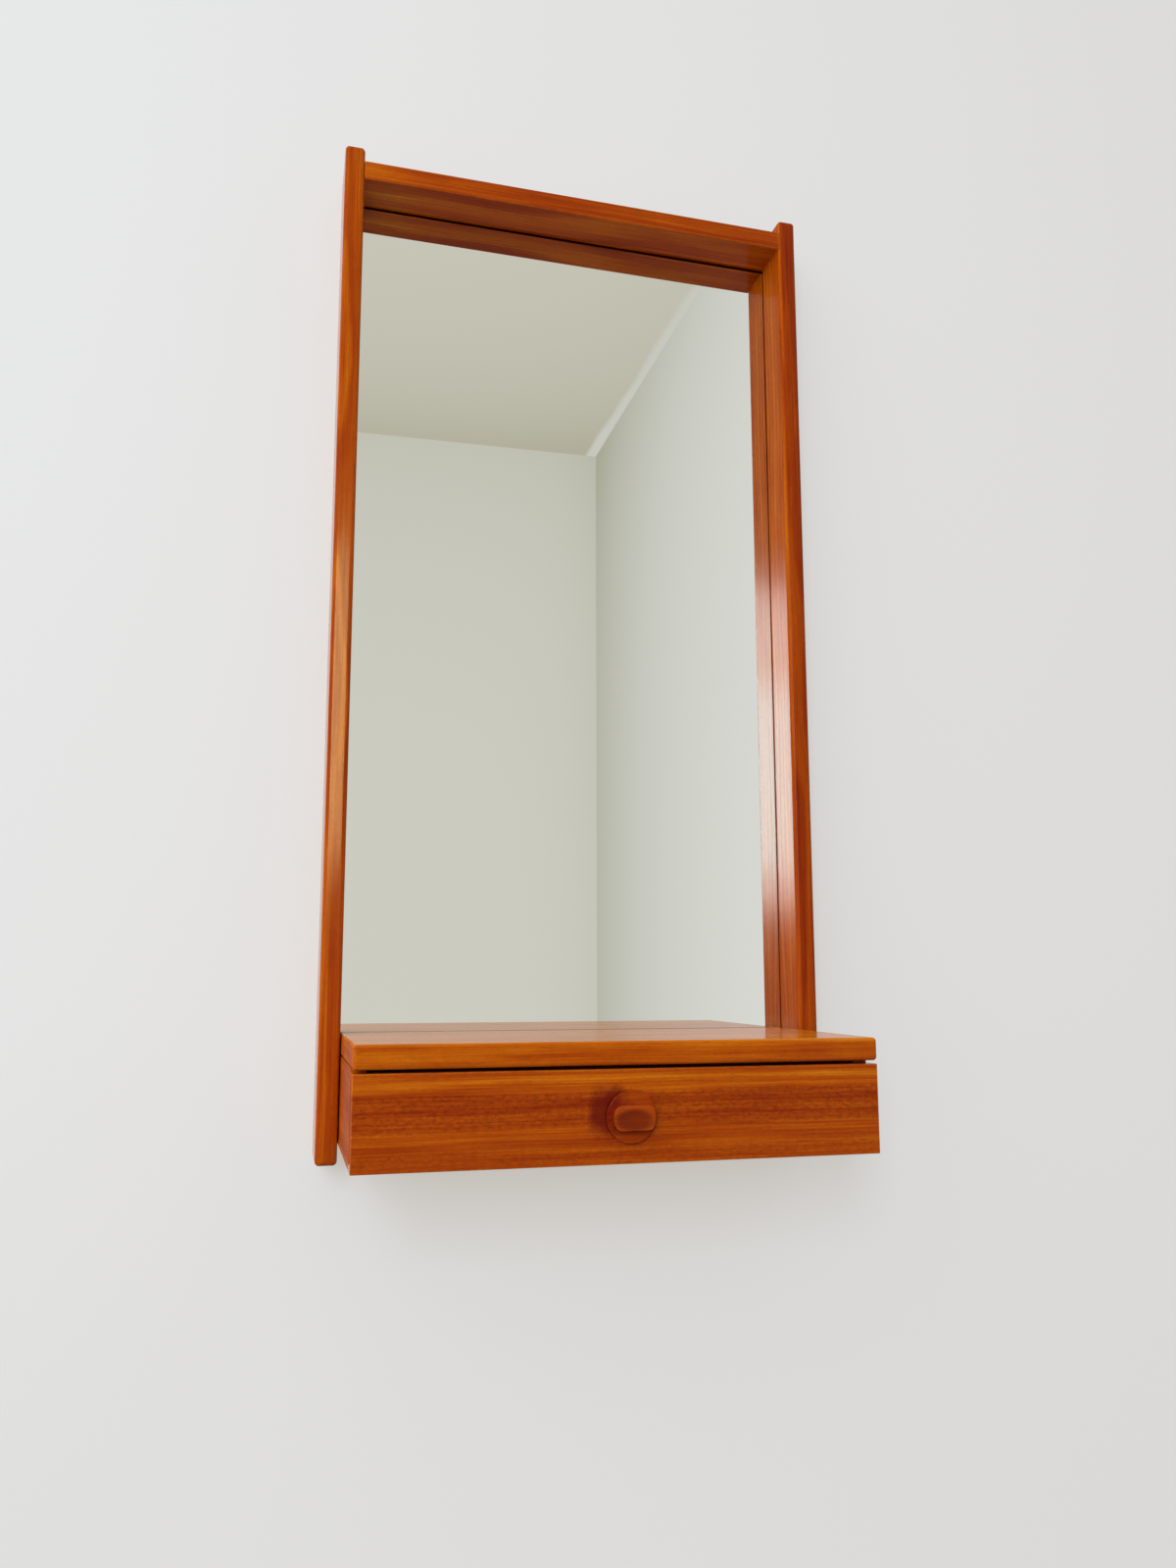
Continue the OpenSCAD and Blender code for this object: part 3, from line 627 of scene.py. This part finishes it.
# %% Knob sizes
KNOB_RADIUS, KNOB_REACH = (knob_high[0] - knob_low[0]) / 2, knob_high[1] - knob_low[1]
DISC_DEPTH, DISC_EASE, POLE_RADIUS = 4.0, 1.2, 0.05
ROOT_RADIUS, GRIP_RADIUS, ROOT_FILLET = 14.75, 14.25, 0.7
WAIST_HEIGHT, GRIP_HEIGHT, GRIP_EASE = 12.5, 17.5, 0.9
DISH_WIDTH, DISH_HEIGHT, DISH_DEPTH, DISH_EASE = 24.0, 12.0, 1.2, 0.06
AROUND = 160
ANGLES = np.linspace(0, 2 * np.pi, AROUND, endpoint=False)
COSINES, SINES = np.cos(ANGLES), np.sin(ANGLES)
QUARTER = np.pi / 2
print("the knob is", round(2 * KNOB_RADIUS, 1), "mm wide, reach", round(KNOB_REACH, 1), "mm")


# %% Knob outline
def soft_minimum(first, second, sharpness=14):
    """The smaller of two lengths, eased where they are nearly equal: (a^-p + b^-p)^(-1/p)."""
    return (first ** -sharpness + second ** -sharpness) ** (-1 / sharpness)


def grip_outline(depth):
    """Radius at each angle t = soft minimum of the cone and of the flank's half height / |sin t|.

    The flank is an arc that is waist-high midway and grip-high at both ends of its run.
    """
    along = np.clip((depth - DISC_DEPTH) / (KNOB_REACH - DISC_DEPTH), 0, 1)
    cone = ROOT_RADIUS + (GRIP_RADIUS - ROOT_RADIUS) * along
    middle, run = (DISC_DEPTH + KNOB_REACH) / 2, (KNOB_REACH - DISC_DEPTH) / 2
    rise = (GRIP_HEIGHT - WAIST_HEIGHT) / 2
    flank_radius = (run ** 2 + rise ** 2) / (2 * rise)
    arc = np.sqrt(flank_radius ** 2 - (depth - middle) ** 2)
    flank = WAIST_HEIGHT / 2 + flank_radius - arc
    return soft_minimum(cone, flank / np.maximum(np.abs(SINES), 1e-3))


waist = grip_outline((DISC_DEPTH + KNOB_REACH) / 2)
print("the grip's waist is", round(2 * float(waist.min()), 1), "mm high")


# %% Knob surface, as rings of (radius at each angle, depth)
def disc_rings():
    """The turned disc: its flat back, its rounded rim, and its face in to the grip's fillet."""
    rings = [(np.full(AROUND, radius), 0.0) for radius in np.linspace(POLE_RADIUS, KNOB_RADIUS, 6)]
    for angle in np.linspace(0, QUARTER, 7):
        radius = KNOB_RADIUS - DISC_EASE * (1 - np.cos(angle))
        rings.append((np.full(AROUND, radius), DISC_DEPTH - DISC_EASE * (1 - np.sin(angle))))
    outer, inner = KNOB_RADIUS - DISC_EASE, grip_outline(DISC_DEPTH) + ROOT_FILLET
    for share in np.linspace(0.12, 1, 8):
        rings.append((outer * (1 - share) + inner * share, DISC_DEPTH))
    return rings


def grip_rings():
    """The grip: its fillet on the disc, its hollowed flanks and its rounded front edge."""
    rings = []
    for angle in np.linspace(0, QUARTER, 5)[1:]:
        depth = DISC_DEPTH + ROOT_FILLET * (1 - np.cos(angle))
        rings.append((grip_outline(depth) + ROOT_FILLET * (1 - np.sin(angle)), depth))
    for depth in np.linspace(DISC_DEPTH + ROOT_FILLET, KNOB_REACH - GRIP_EASE, 12)[1:]:
        rings.append((grip_outline(depth), depth))
    for angle in np.linspace(0, QUARTER, 8)[1:]:
        depth = KNOB_REACH - GRIP_EASE * (1 - np.sin(angle))
        rings.append((grip_outline(depth) - GRIP_EASE * (1 - np.cos(angle)), depth))
    return rings


def dish_rings(edge):
    """The face, from its edge in to its middle, with the oval dish sunk into it.

    The dish's depth = its full depth times the part by which (x / half width)^2 +
    (z / half height)^2 falls short of 1, eased where that part reaches 0.
    """
    rings = []
    for share in np.linspace(1, 0.01, 26)[1:]:
        radius = edge * share
        x, z = radius * COSINES, radius * SINES
        hollow = 1 - (2 * x / DISH_WIDTH) ** 2 - (2 * z / DISH_HEIGHT) ** 2
        hollow = (hollow + np.sqrt(hollow ** 2 + DISH_EASE ** 2)) / 2
        rings.append((radius, KNOB_REACH - DISH_DEPTH * np.minimum(hollow, 1)))
    return rings


def knob_surface():
    """Rows of points about the knob's axis, from its back to the middle of its face, in metres."""
    rings = disc_rings() + grip_rings()
    rings += dish_rings(rings[-1][0])
    points = np.empty((len(rings), AROUND, 3))
    for row, (radius, depth) in zip(points, rings):
        row[:, 0] = knob_x + radius * COSINES
        row[:, 1] = knob_high[1] - depth
        row[:, 2] = knob_z + radius * SINES
    return points * MM


knob_points = knob_surface()
print("knob points:", knob_points.shape[0], "rows of", knob_points.shape[1])


# %% Knob mesh
def ring_mesh(name, points):
    """A closed mesh through rows of points: quads between the rows and a polygon at each end."""
    rows, around = points.shape[:2]
    index = np.arange(rows * around).reshape(rows, around)
    after = np.roll(index, -1, axis=1)
    quads = np.stack([index[:-1], after[:-1], after[1:], index[1:]], axis=-1).reshape(-1, 4)
    faces = quads.tolist() + [index[0][::-1].tolist(), index[-1].tolist()]
    mesh = bpy.data.meshes.new(name)
    mesh.from_pydata(points.reshape(-1, 3).tolist(), [], faces)
    mesh.polygons.foreach_set("use_smooth", [True] * len(faces))
    mesh.update()
    return mesh


knob = bpy.data.objects.new("knob_body", ring_mesh("knob_body", knob_points))
bpy.context.scene.collection.objects.link(knob)
knob.data.materials.append(nodes["drawer_knob"].data.materials[0])
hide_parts("drawer_knob")
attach(knob, "drawer")
print("knob:", len(knob.data.polygons), "faces")

# %% [markdown]
# ## The other materials
# What can't be seen from the front is plainer: beech rails, runners and drawer sides, a plywood
# bottom, a hardboard back and zinc-plated steel. They still get their own grain and marks, because
# the drawer opens and the mirror can be taken off the wall.

# %% Beech and plywood
HIDDEN_PITH, HIDDEN_RING_WIDTH, HIDDEN_FIBRE_SWING = (0, 140, -90), 9.0, 0.7
HIDDEN_PORE_SHARE, HIDDEN_FLECK_SHARE = 0.6, 0.12
HIDDEN_BUMP, HIDDEN_DEPTH = 0.3, 0.05
BEECH_ROUGHNESS, PLY_ROUGHNESS = 0.55, 0.6
BEECH_SEED_STEP, PLY_SEED = 1.7, 51.0


def plain_wood(name, axis, shades, seed, fleck_tone, roughness):
    """Bare wood for hidden pieces: a soft ring tone with dark pores and faint patches."""
    material, tree, shader = new_material(name)
    along = along_grain(tree, object_mm(tree)[1], axis)
    rings, fibres, pores, flecks = figure_of(tree, along, HIDDEN_PITH, HIDDEN_RING_WIDTH, seed)
    tone = swing(tree, fibres, HIDDEN_FIBRE_SWING, rings)
    layers = [(pores, HIDDEN_PORE_SHARE, fleck_tone), (flecks, HIDDEN_FLECK_SHARE, fleck_tone)]
    colour = lay_over(tree, ramp(tree, tone, *shades), layers)
    tree.links.new(colour, shader.inputs["Base Color"])
    bump_by(tree, shader, fibres, HIDDEN_BUMP, HIDDEN_DEPTH)
    shader.inputs["Roughness"].default_value = roughness
    return material


BEECH_SHADES = (
    (0.2, linear(178, 134, 92)),
    (0.5, linear(203, 163, 118)),
    (0.8, linear(220, 184, 142)),
)
PLY_SHADES = (
    (0.2, linear(186, 150, 104)),
    (0.5, linear(208, 174, 128)),
    (0.8, linear(222, 194, 152)),
)
BEECH_FLECK = linear(150, 100, 62)
BEECH_GRAIN = {
    "X": ("lower_rail", "top_rail_dowels", "drawer_back"),
    "Y": ("left_runner", "right_runner", "left_drawer_side", "right_drawer_side", "drawer_dowels"),
    "Z": ("case_dowels",),
}
for axis, pieces in BEECH_GRAIN.items():
    seed = ord(axis) * BEECH_SEED_STEP
    beech = plain_wood(f"beech_{axis}", axis, BEECH_SHADES, seed, BEECH_FLECK, BEECH_ROUGHNESS)
    for piece in pieces:
        dress(piece, beech)
plywood = plain_wood("plywood", "X", PLY_SHADES, PLY_SEED, BEECH_FLECK, PLY_ROUGHNESS)
dress("drawer_bottom", plywood)
print("hidden wood:", sum(len(pieces) for pieces in BEECH_GRAIN.values()) + 1, "nodes")

# %% Hardboard back
HARDBOARD_SHADES = (
    (0.25, linear(78, 50, 30)),
    (0.50, linear(112, 74, 44)),
    (0.75, linear(142, 98, 62)),
)
BOARD_CLOUD_SCALE, BOARD_CLOUD_SWING = 0.02, 0.35
BOARD_FIBRE_SCALE, BOARD_FIBRE_SWING = 1.4, 0.8
SCREEN_PITCH, SCREEN_RELIEF = 1.3, 0.35
BOARD_BUMP, BOARD_DEPTH, BOARD_ROUGHNESS = 0.5, 0.15, 0.75


def hardboard():
    """Pressed brown fibre board, with the fine screen pattern that the press leaves on its back."""
    material, tree, shader = new_material("hardboard")
    place, (x, _, z) = object_mm(tree)
    clouds = noise(tree, place, BOARD_CLOUD_SCALE, detail=5.0)
    clouds = swing(tree, clouds, BOARD_CLOUD_SWING, 0.5)
    fibres = noise(tree, place, BOARD_FIBRE_SCALE, detail=4.0, roughness=0.7)
    tone = swing(tree, fibres, BOARD_FIBRE_SWING, clouds)
    tree.links.new(ramp(tree, tone, *HARDBOARD_SHADES), shader.inputs["Base Color"])
    turn = 2 * math.pi / SCREEN_PITCH
    upright = maths(tree, "SINE", maths(tree, "MULTIPLY", x, turn))
    level = maths(tree, "SINE", maths(tree, "MULTIPLY", z, turn))
    wires = maths(tree, "ADD", upright, level)
    relief = maths(tree, "MULTIPLY_ADD", wires, SCREEN_RELIEF, fibres)
    bump_by(tree, shader, relief, BOARD_BUMP, BOARD_DEPTH)
    shader.inputs["Roughness"].default_value = BOARD_ROUGHNESS
    return material


dress("mirror_backing", hardboard())
print("hardboard: a screen pattern every", SCREEN_PITCH, "mm")

# %% Zinc-plated steel, and darker steel as painted shade in a gap
MOTTLE_SCALE, STAINS_SCALE = 0.9, 0.15
STEEL_ROUGHNESS, MOTTLE_ROUGHNESS = 0.18, 0.35
STEEL_BUMP, STEEL_DEPTH = 0.2, 0.03


def steel(name, shades):
    """Steel for screws and plates: a fine mottle in its roughness, wide stains in its colour."""
    material, tree, shader = new_material(name)
    place = object_mm(tree)[0]
    mottle = noise(tree, place, MOTTLE_SCALE, detail=4.0)
    colour = ramp(tree, noise(tree, place, STAINS_SCALE, detail=3.0), *shades)
    tree.links.new(colour, shader.inputs["Base Color"])
    roughness = maths(tree, "MULTIPLY_ADD", mottle, MOTTLE_ROUGHNESS, STEEL_ROUGHNESS)
    tree.links.new(roughness, shader.inputs["Roughness"])
    shader.inputs["Metallic"].default_value = 1.0
    bump_by(tree, shader, mottle, STEEL_BUMP, STEEL_DEPTH)
    return material


ZINC_SHADES = (
    (0.30, linear(150, 144, 128)),
    (0.55, linear(186, 186, 182)),
    (0.80, linear(206, 207, 206)),
)
GAP_SHADE_STEEL_SHADES = (
    (0.30, linear(52, 30, 22)),
    (0.55, linear(74, 48, 36)),
    (0.80, linear(98, 76, 62)),
)
STEEL_PIECES = [
    "lower_rail_screws",
    "shelf_screws",
    "runner_screws",
    "hanger_screws",
    "left_hanger_plate",
    "right_hanger_plate",
    "backing_pins",
    "drawer_back_pins",
    "drawer_bottom_pins",
    "knob_screw",
]
zinc = steel("zinc_steel", ZINC_SHADES)
for piece in STEEL_PIECES:
    dress(piece, zinc)
# The case screws sit in the dark gap between the left stile and the case: their darker steel is
# painted shade.
dress("case_screws", steel("gap_shade_steel", GAP_SHADE_STEEL_SHADES))
print("steel pieces:", len(STEEL_PIECES) + 1)

# %% [markdown]
# ## The mirror
# The silver lies behind four millimetres of glass. Seen at an angle, the wood's edge and its
# reflection don't meet: between them is a dark line, the unlit inside of the rebate seen through
# the thickness of the glass. A clear slab over a metal sheet would show it, but costs many bounces
# and exports badly, so the glass is one metal surface whose colour is dark along the opening's
# edges. The line is widest at the top, where the glass is seen most from below.

# %% Mirror finish
SILVER = linear(240, 243, 238)
REBATE_DARK = linear(52, 12, 8)
SIDE_LINE, TOP_LINE, FOOT_LINE, LINE_SOFTNESS = 0.8, 2.3, 0.1, 0.35
FILM_SCALE, FILM_ROUGHNESS = 0.02, 0.012


def mirror_finish():
    """Metal that is dark where it lies nearer to the opening's edge than the line is wide."""
    material, tree, shader = new_material("mirror")
    place, (x, _, z) = object_mm(tree)
    side_edge = corners_mm("right_stile")[0][0]
    top_edge = corners_mm("top_rail")[0][2]
    foot_edge = corners_mm("shelf")[1][2]
    from_side = maths(tree, "SUBTRACT", side_edge - SIDE_LINE, maths(tree, "ABSOLUTE", x))
    from_top = maths(tree, "SUBTRACT", top_edge - TOP_LINE, z)
    from_foot = maths(tree, "SUBTRACT", z, foot_edge + FOOT_LINE)
    nearest = maths(tree, "MINIMUM", maths(tree, "MINIMUM", from_side, from_top), from_foot)
    inside = smooth_step(tree, nearest, -LINE_SOFTNESS, LINE_SOFTNESS)
    silver = blend_colours(tree, inside, REBATE_DARK, SILVER)
    tree.links.new(silver, shader.inputs["Base Color"])
    film = noise(tree, place, FILM_SCALE, detail=4.0)
    tree.links.new(maths(tree, "MULTIPLY", film, FILM_ROUGHNESS), shader.inputs["Roughness"])
    shader.inputs["Metallic"].default_value = 1.0
    return material


dress("mirror_glass", mirror_finish())
print("the dark line at the mirror's top is", TOP_LINE, "mm wide")

# %% [markdown]
# ## Studio
# The mirror hangs on a pale wall over a pale floor. The wall must be there for the front views,
# with its soft shadow under the drawer, yet it must not hide the back or darken it. So its paint is
# clear when seen from behind and no light is held up by it. A part of its brightness is its own
# glow, because in the real room the shadow is filled from all sides. That glow is a little warm, as
# light is that has met the wood, and the part that the lamps light is as much cooler.


# %% Stage helpers
def plane(name, corners, material):
    """A flat four-cornered stage piece, its corners listed anticlockwise as seen from its front."""
    mesh = bpy.data.meshes.new(name)
    mesh.from_pydata(corners, [], [(0, 1, 2, 3)])
    mesh.materials.append(material)
    thing = bpy.data.objects.new(name, mesh)
    bpy.context.scene.collection.objects.link(thing)
    return thing


def hide_from(thing, *rays):
    """Keeps a stage piece or a lamp out of some kinds of ray."""
    for ray in rays:
        setattr(thing, f"visible_{ray}", False)


def output_of(tree):
    """The tree's material output."""
    return next(node for node in tree.nodes if node.type == "OUTPUT_MATERIAL")


print("stage helpers: plane, hide_from, output_of")

# %% Wall paint
GLOW_SHARE = 0.56
GLOW_TINT = np.array([1.09, 1.0, 0.91])
WARM_GLOW = tuple(GLOW_TINT)
COOL_SHARE = tuple(1 - GLOW_SHARE * GLOW_TINT)
DIM_FROM_X, DIM_TO_X = -0.8, 0.1
DIM_BELOW_Z, DIM_PER_DROP = -0.65, -1.6
PAINT_ROUGHNESS = 0.9


def paint(name, light, dim):
    """Dull paint with painted shade to the right and downwards, partly glows and is clear from
    behind.
    """
    material, tree, shader = new_material(name)
    x, _, z = parts_of(tree, object_place(tree))
    below = maths(tree, "MINIMUM", maths(tree, "SUBTRACT", z, DIM_BELOW_Z), 0.0)
    place = maths(tree, "MULTIPLY_ADD", below, DIM_PER_DROP, x)
    colour = blend_colours(tree, smooth_step(tree, place, DIM_FROM_X, DIM_TO_X), light, dim)
    lit = blend_colours(tree, 1.0, colour, COOL_SHARE, "MULTIPLY")
    own_glow = blend_colours(tree, 1.0, colour, WARM_GLOW, "MULTIPLY")
    tree.links.new(lit, shader.inputs["Base Color"])
    tree.links.new(own_glow, shader.inputs["Emission Color"])
    shader.inputs["Emission Strength"].default_value = GLOW_SHARE
    shader.inputs["Roughness"].default_value = PAINT_ROUGHNESS
    shader.inputs["Specular IOR Level"].default_value = 0.0
    behind = put(tree, "ShaderNodeNewGeometry").outputs["Backfacing"]
    clear = put(tree, "ShaderNodeBsdfTransparent").outputs[0]
    mixed = put(tree, "ShaderNodeMixShader", {0: behind, 1: shader.outputs[0], 2: clear})
    tree.links.new(mixed.outputs[0], output_of(tree).inputs["Surface"])
    return material


print("the wall's own glow is", GLOW_SHARE, "of its brightness")

# %% Wall and floor
WALL_LIGHT, WALL_DIM = linear(228, 228, 228), linear(225, 225, 224)
FLOOR_COLOUR = linear(222, 221, 219)
WALL_GAP = 0.5 * MM
FLOOR_Z = -1.6
ROOM_REACH = 4.0

wall = plane(
    "stage_wall",
    [
        (-ROOM_REACH, WALL_GAP, FLOOR_Z),
        (ROOM_REACH, WALL_GAP, FLOOR_Z),
        (ROOM_REACH, WALL_GAP, ROOM_REACH),
        (-ROOM_REACH, WALL_GAP, ROOM_REACH),
    ],
    paint("wall_paint", WALL_LIGHT, WALL_DIM),
)
floor = plane(
    "stage_floor",
    [
        (-ROOM_REACH, -ROOM_REACH, FLOOR_Z),
        (ROOM_REACH, -ROOM_REACH, FLOOR_Z),
        (ROOM_REACH, ROOM_REACH, FLOOR_Z),
        (-ROOM_REACH, ROOM_REACH, FLOOR_Z),
    ],
    paint("floor_paint", FLOOR_COLOUR, FLOOR_COLOUR),
)
for thing in (wall, floor):
    hide_from(thing, "diffuse", "shadow", "transmission")
print("the wall is", 2 * ROOM_REACH, "m wide and the floor lies at z", FLOOR_Z, "m")

# %% [markdown]
# ## What the mirror shows
# A mirror needs a room in front of it. Three plain planes stand for a corner behind the viewer: an
# end wall, a side wall and the ceiling. Only reflections see them. Their places follow from where
# the corner shows in the glass. They glow rather than being lit, and their shade is painted: it
# gets darker towards the corner, as in any room lit from one side, and each darkening is
# exp(-distance / reach).

# %% Room paint
CORNER = Vector((0.723, -2.5, 1.059))
LAP_SCALE, LAP_SOFTNESS = 2.2, 0.01


def seen(red, green, blue):
    """The paint that shows as this screen colour in the mirror's silver."""
    return tuple(part / silver for part, silver in zip(linear(red, green, blue), SILVER))


def distance_to(tree, coordinate, edge):
    """How far a coordinate is from an edge, on either side of it."""
    return maths(tree, "ABSOLUTE", maths(tree, "SUBTRACT", coordinate, edge))


def falloff(tree, coordinate, edge, reach):
    """exp(-distance from the edge / reach)."""
    distance = distance_to(tree, coordinate, edge)
    return maths(tree, "EXPONENT", maths(tree, "MULTIPLY", distance, -1 / reach))


def glow(name, light, dark, fades, strip=None):
    """A plane that shows its colour whatever the light, darker by the sum of its fades.

    Each fade is (share, axis, edge, reach). A strip is (axis, edge, width, colour): the ragged
    line where the next wall's paint laps over this one.
    """
    material, tree, shader = new_material(name)
    place = object_place(tree)
    parts = parts_of(tree, place)
    darkness = 0.0
    for share, axis, edge, reach in fades:
        step = maths(tree, "MULTIPLY", falloff(tree, parts[axis], edge, reach), share)
        darkness = maths(tree, "ADD", step, darkness)
    colour = blend_colours(tree, darkness, light, dark)
    if strip:
        axis, edge, width, lap = strip
        ragged = maths(tree, "MULTIPLY", noise(tree, place, LAP_SCALE), width)
        beyond = maths(tree, "SUBTRACT", distance_to(tree, parts[axis], edge), ragged)
        over = smooth_step(tree, beyond, LAP_SOFTNESS, -LAP_SOFTNESS)
        colour = blend_colours(tree, over, colour, lap)
    light_out = put(tree, "ShaderNodeEmission", {"Color": colour, "Strength": 1.0}).outputs[0]
    tree.links.new(light_out, output_of(tree).inputs["Surface"])
    tree.nodes.remove(shader)
    return material


print("room corner at", [round(part, 2) for part in CORNER])

# %% Room planes for the reflections
FAR_LEFT, FRONT, END_TURN = -3.5, 0.6, 0.12

ROOM = {
    "stage_room_end": (
        [
            (FAR_LEFT, CORNER.y - END_TURN, FLOOR_Z),
            (FAR_LEFT, CORNER.y - END_TURN, CORNER.z),
            (CORNER.x, CORNER.y, CORNER.z),
            (CORNER.x, CORNER.y, FLOOR_Z),
        ],
        glow(
            "room_end_paint",
            seen(204, 204, 193),
            seen(176, 177, 160),
            [(0.45, 2, CORNER.z, 0.45), (0.3, 0, CORNER.x, 0.12)],
        ),
    ),
    "stage_room_side": (
        [
            (CORNER.x, CORNER.y, FLOOR_Z),
            (CORNER.x, CORNER.y, CORNER.z),
            (CORNER.x, FRONT, CORNER.z),
            (CORNER.x, FRONT, FLOOR_Z),
        ],
        glow(
            "room_side_paint",
            seen(226, 227, 223),
            seen(168, 169, 150),
            [(0.8, 1, CORNER.y, 1.0), (0.25, 2, CORNER.z, 0.4)],
        ),
    ),
    "stage_room_ceiling": (
        [
            (FAR_LEFT, CORNER.y - END_TURN, CORNER.z),
            (FAR_LEFT, FRONT, CORNER.z),
            (CORNER.x, FRONT, CORNER.z),
            (CORNER.x, CORNER.y, CORNER.z),
        ],
        glow(
            "room_ceiling_paint",
            seen(203, 201, 187),
            seen(172, 169, 149),
            [(0.7, 1, CORNER.y, 0.55), (0.25, 0, CORNER.x, 0.4)],
            strip=(0, CORNER.x, 0.05, seen(198, 199, 189)),
        ),
    ),
}
for name, (corners, material) in ROOM.items():
    hide_from(plane(name, corners, material), "camera", "diffuse", "shadow", "transmission")
print("room planes:", ", ".join(ROOM))

# %% [markdown]
# ## Light
# The room is lit by its pale ceiling and walls, and by a window on the left behind the viewer. The
# sky of the scene stands for the first, brighter above than below and on the left than on the
# right. It only lights: the camera and the reflections see a plain backdrop in its place. One
# large soft lamp stands for the window, and lies where the highlight on the right stile's inner
# face says it must. Two more lamps only make highlights, as panes that lacquer and glass mirror:
# the near pane on the left stile, and the far pane on the right stile and the mirror.

# %% Sky
SKY_STOPS = ((0.00, 0.17), (0.35, 0.29), (0.50, 0.56), (0.75, 0.78), (1.00, 0.84))
MORE_LEFT, LESS_RIGHT = 1.5, 0.6
BACKDROP = linear(232, 232, 230)

world = bpy.data.worlds.new("studio")
bpy.context.scene.world = world
world.use_nodes = True
sky = world.node_tree
sky.nodes.clear()
towards = parts_of(sky, put(sky, "ShaderNodeTexCoord").outputs["Generated"])
height = put(sky, "ShaderNodeMapRange", {0: towards[2], 1: -1.0, 2: 1.0}).outputs[0]
from_below = ramp(sky, height, *((stop, (grey, grey, grey)) for stop, grey in SKY_STOPS))
left = maths(sky, "MINIMUM", towards[0], 0.0)
brighter = maths(sky, "MULTIPLY_ADD", left, -MORE_LEFT, 1.0)
right = maths(sky, "MAXIMUM", towards[0], 0.0)
sideways = maths(sky, "MULTIPLY_ADD", right, -LESS_RIGHT, brighter)
room_light = scaled(sky, from_below, sideways)
ray = put(sky, "ShaderNodeLightPath").outputs
shown = maths(sky, "MAXIMUM", ray["Is Camera Ray"], ray["Is Glossy Ray"])
shown = maths(sky, "MAXIMUM", shown, ray["Is Transmission Ray"])
backdrop = blend_colours(sky, shown, room_light, BACKDROP)
background = put(sky, "ShaderNodeBackground", {"Color": backdrop, "Strength": 1.0}).outputs[0]
put(sky, "ShaderNodeOutputWorld", {"Surface": background})
print("sky nodes:", len(sky.nodes))

# %% Window lamps
TOWARDS_WALL = Vector((0, 1, 0)).to_track_quat("-Z", "Y").to_euler()
LAMPS = {
    "window": dict(place=(-0.97, -2.45, 0.12), size=(0.7, 1.05), power=34.0),
    "near_pane": dict(
        place=(-0.77, -2.45, 0.16),
        size=(1.465, 0.92),
        power=271.0,
        colour=(1.0, 0.88, 0.38),
        shines_on=("left_stile",),
    ),
    "far_pane": dict(
        place=(-0.97, -2.43, 0.0),
        size=(0.66, 0.6),
        power=13.6,
        colour=(0.4, 0.95, 1.0),
        shines_on=("right_stile", "mirror_glass"),
    ),
}


def lamp(name, place, size, power, colour=(1.0, 1.0, 1.0), shines_on=()):
    """An upright soft lamp facing the wall; given pieces, it makes highlights on them only."""
    light = bpy.data.lights.new(name, "AREA")
    light.shape = "RECTANGLE"
    light.size, light.size_y = size
    light.energy = power
    light.color = colour
    thing = bpy.data.objects.new(name, light)
    bpy.context.scene.collection.objects.link(thing)
    thing.location = place
    thing.rotation_euler = TOWARDS_WALL
    if shines_on:
        hide_from(thing, "diffuse")
        pieces = bpy.data.collections.new(f"{name}_shines_on")
        for piece in shines_on:
            pieces.objects.link(nodes[piece])
        thing.light_linking.receiver_collection = pieces
    return thing


lamps = [lamp(name, **choices) for name, choices in LAMPS.items()]
print("lamps:", [thing.data.energy for thing in lamps], "W")

# %% [markdown]
# ## Camera
# The photograph was taken from below the middle of the mirror, a little to its left, looking up
# and to the right. The place, the turn and the lens were found by fitting a pinhole camera to the
# corners of the frame, the shelf and the drawer. The small shift says where the optical axis meets
# the picture.

# %% Camera
CAMERA_PLACE = (-0.2326, -0.9184, -0.6142)
TURN, PITCH, ROLL = (math.radians(angle) for angle in (-14.384, 8.056, -0.033))
SENSOR, FOCAL_PIXELS, IMAGE_WIDTH, IMAGE_HEIGHT = 36.0, 1163.0, 1200, 1600
AXIS_X, AXIS_Y = 581.6, 829.5
NEAREST = 0.01

camera_data = bpy.data.cameras.new("camera")
camera = bpy.data.objects.new("camera", camera_data)
bpy.context.scene.collection.objects.link(camera)
bpy.context.scene.camera = camera
camera_data.sensor_width = SENSOR
camera_data.lens = FOCAL_PIXELS / IMAGE_HEIGHT * SENSOR
camera_data.shift_x = (IMAGE_WIDTH / 2 - AXIS_X) / IMAGE_HEIGHT
camera_data.shift_y = (AXIS_Y - IMAGE_HEIGHT / 2) / IMAGE_HEIGHT
camera_data.clip_start = NEAREST
turned = Matrix.Rotation(TURN, 4, "Z") @ Matrix.Rotation(PITCH, 4, "X")
turned = turned @ Matrix.Rotation(ROLL, 4, "Y")
upright = Matrix.Rotation(math.radians(90), 4, "X")
camera.matrix_world = Matrix.Translation(CAMERA_PLACE) @ turned @ upright
print("lens", round(camera_data.lens, 2), "mm")

# %% View settings
bpy.context.scene.view_settings.view_transform = "Standard"
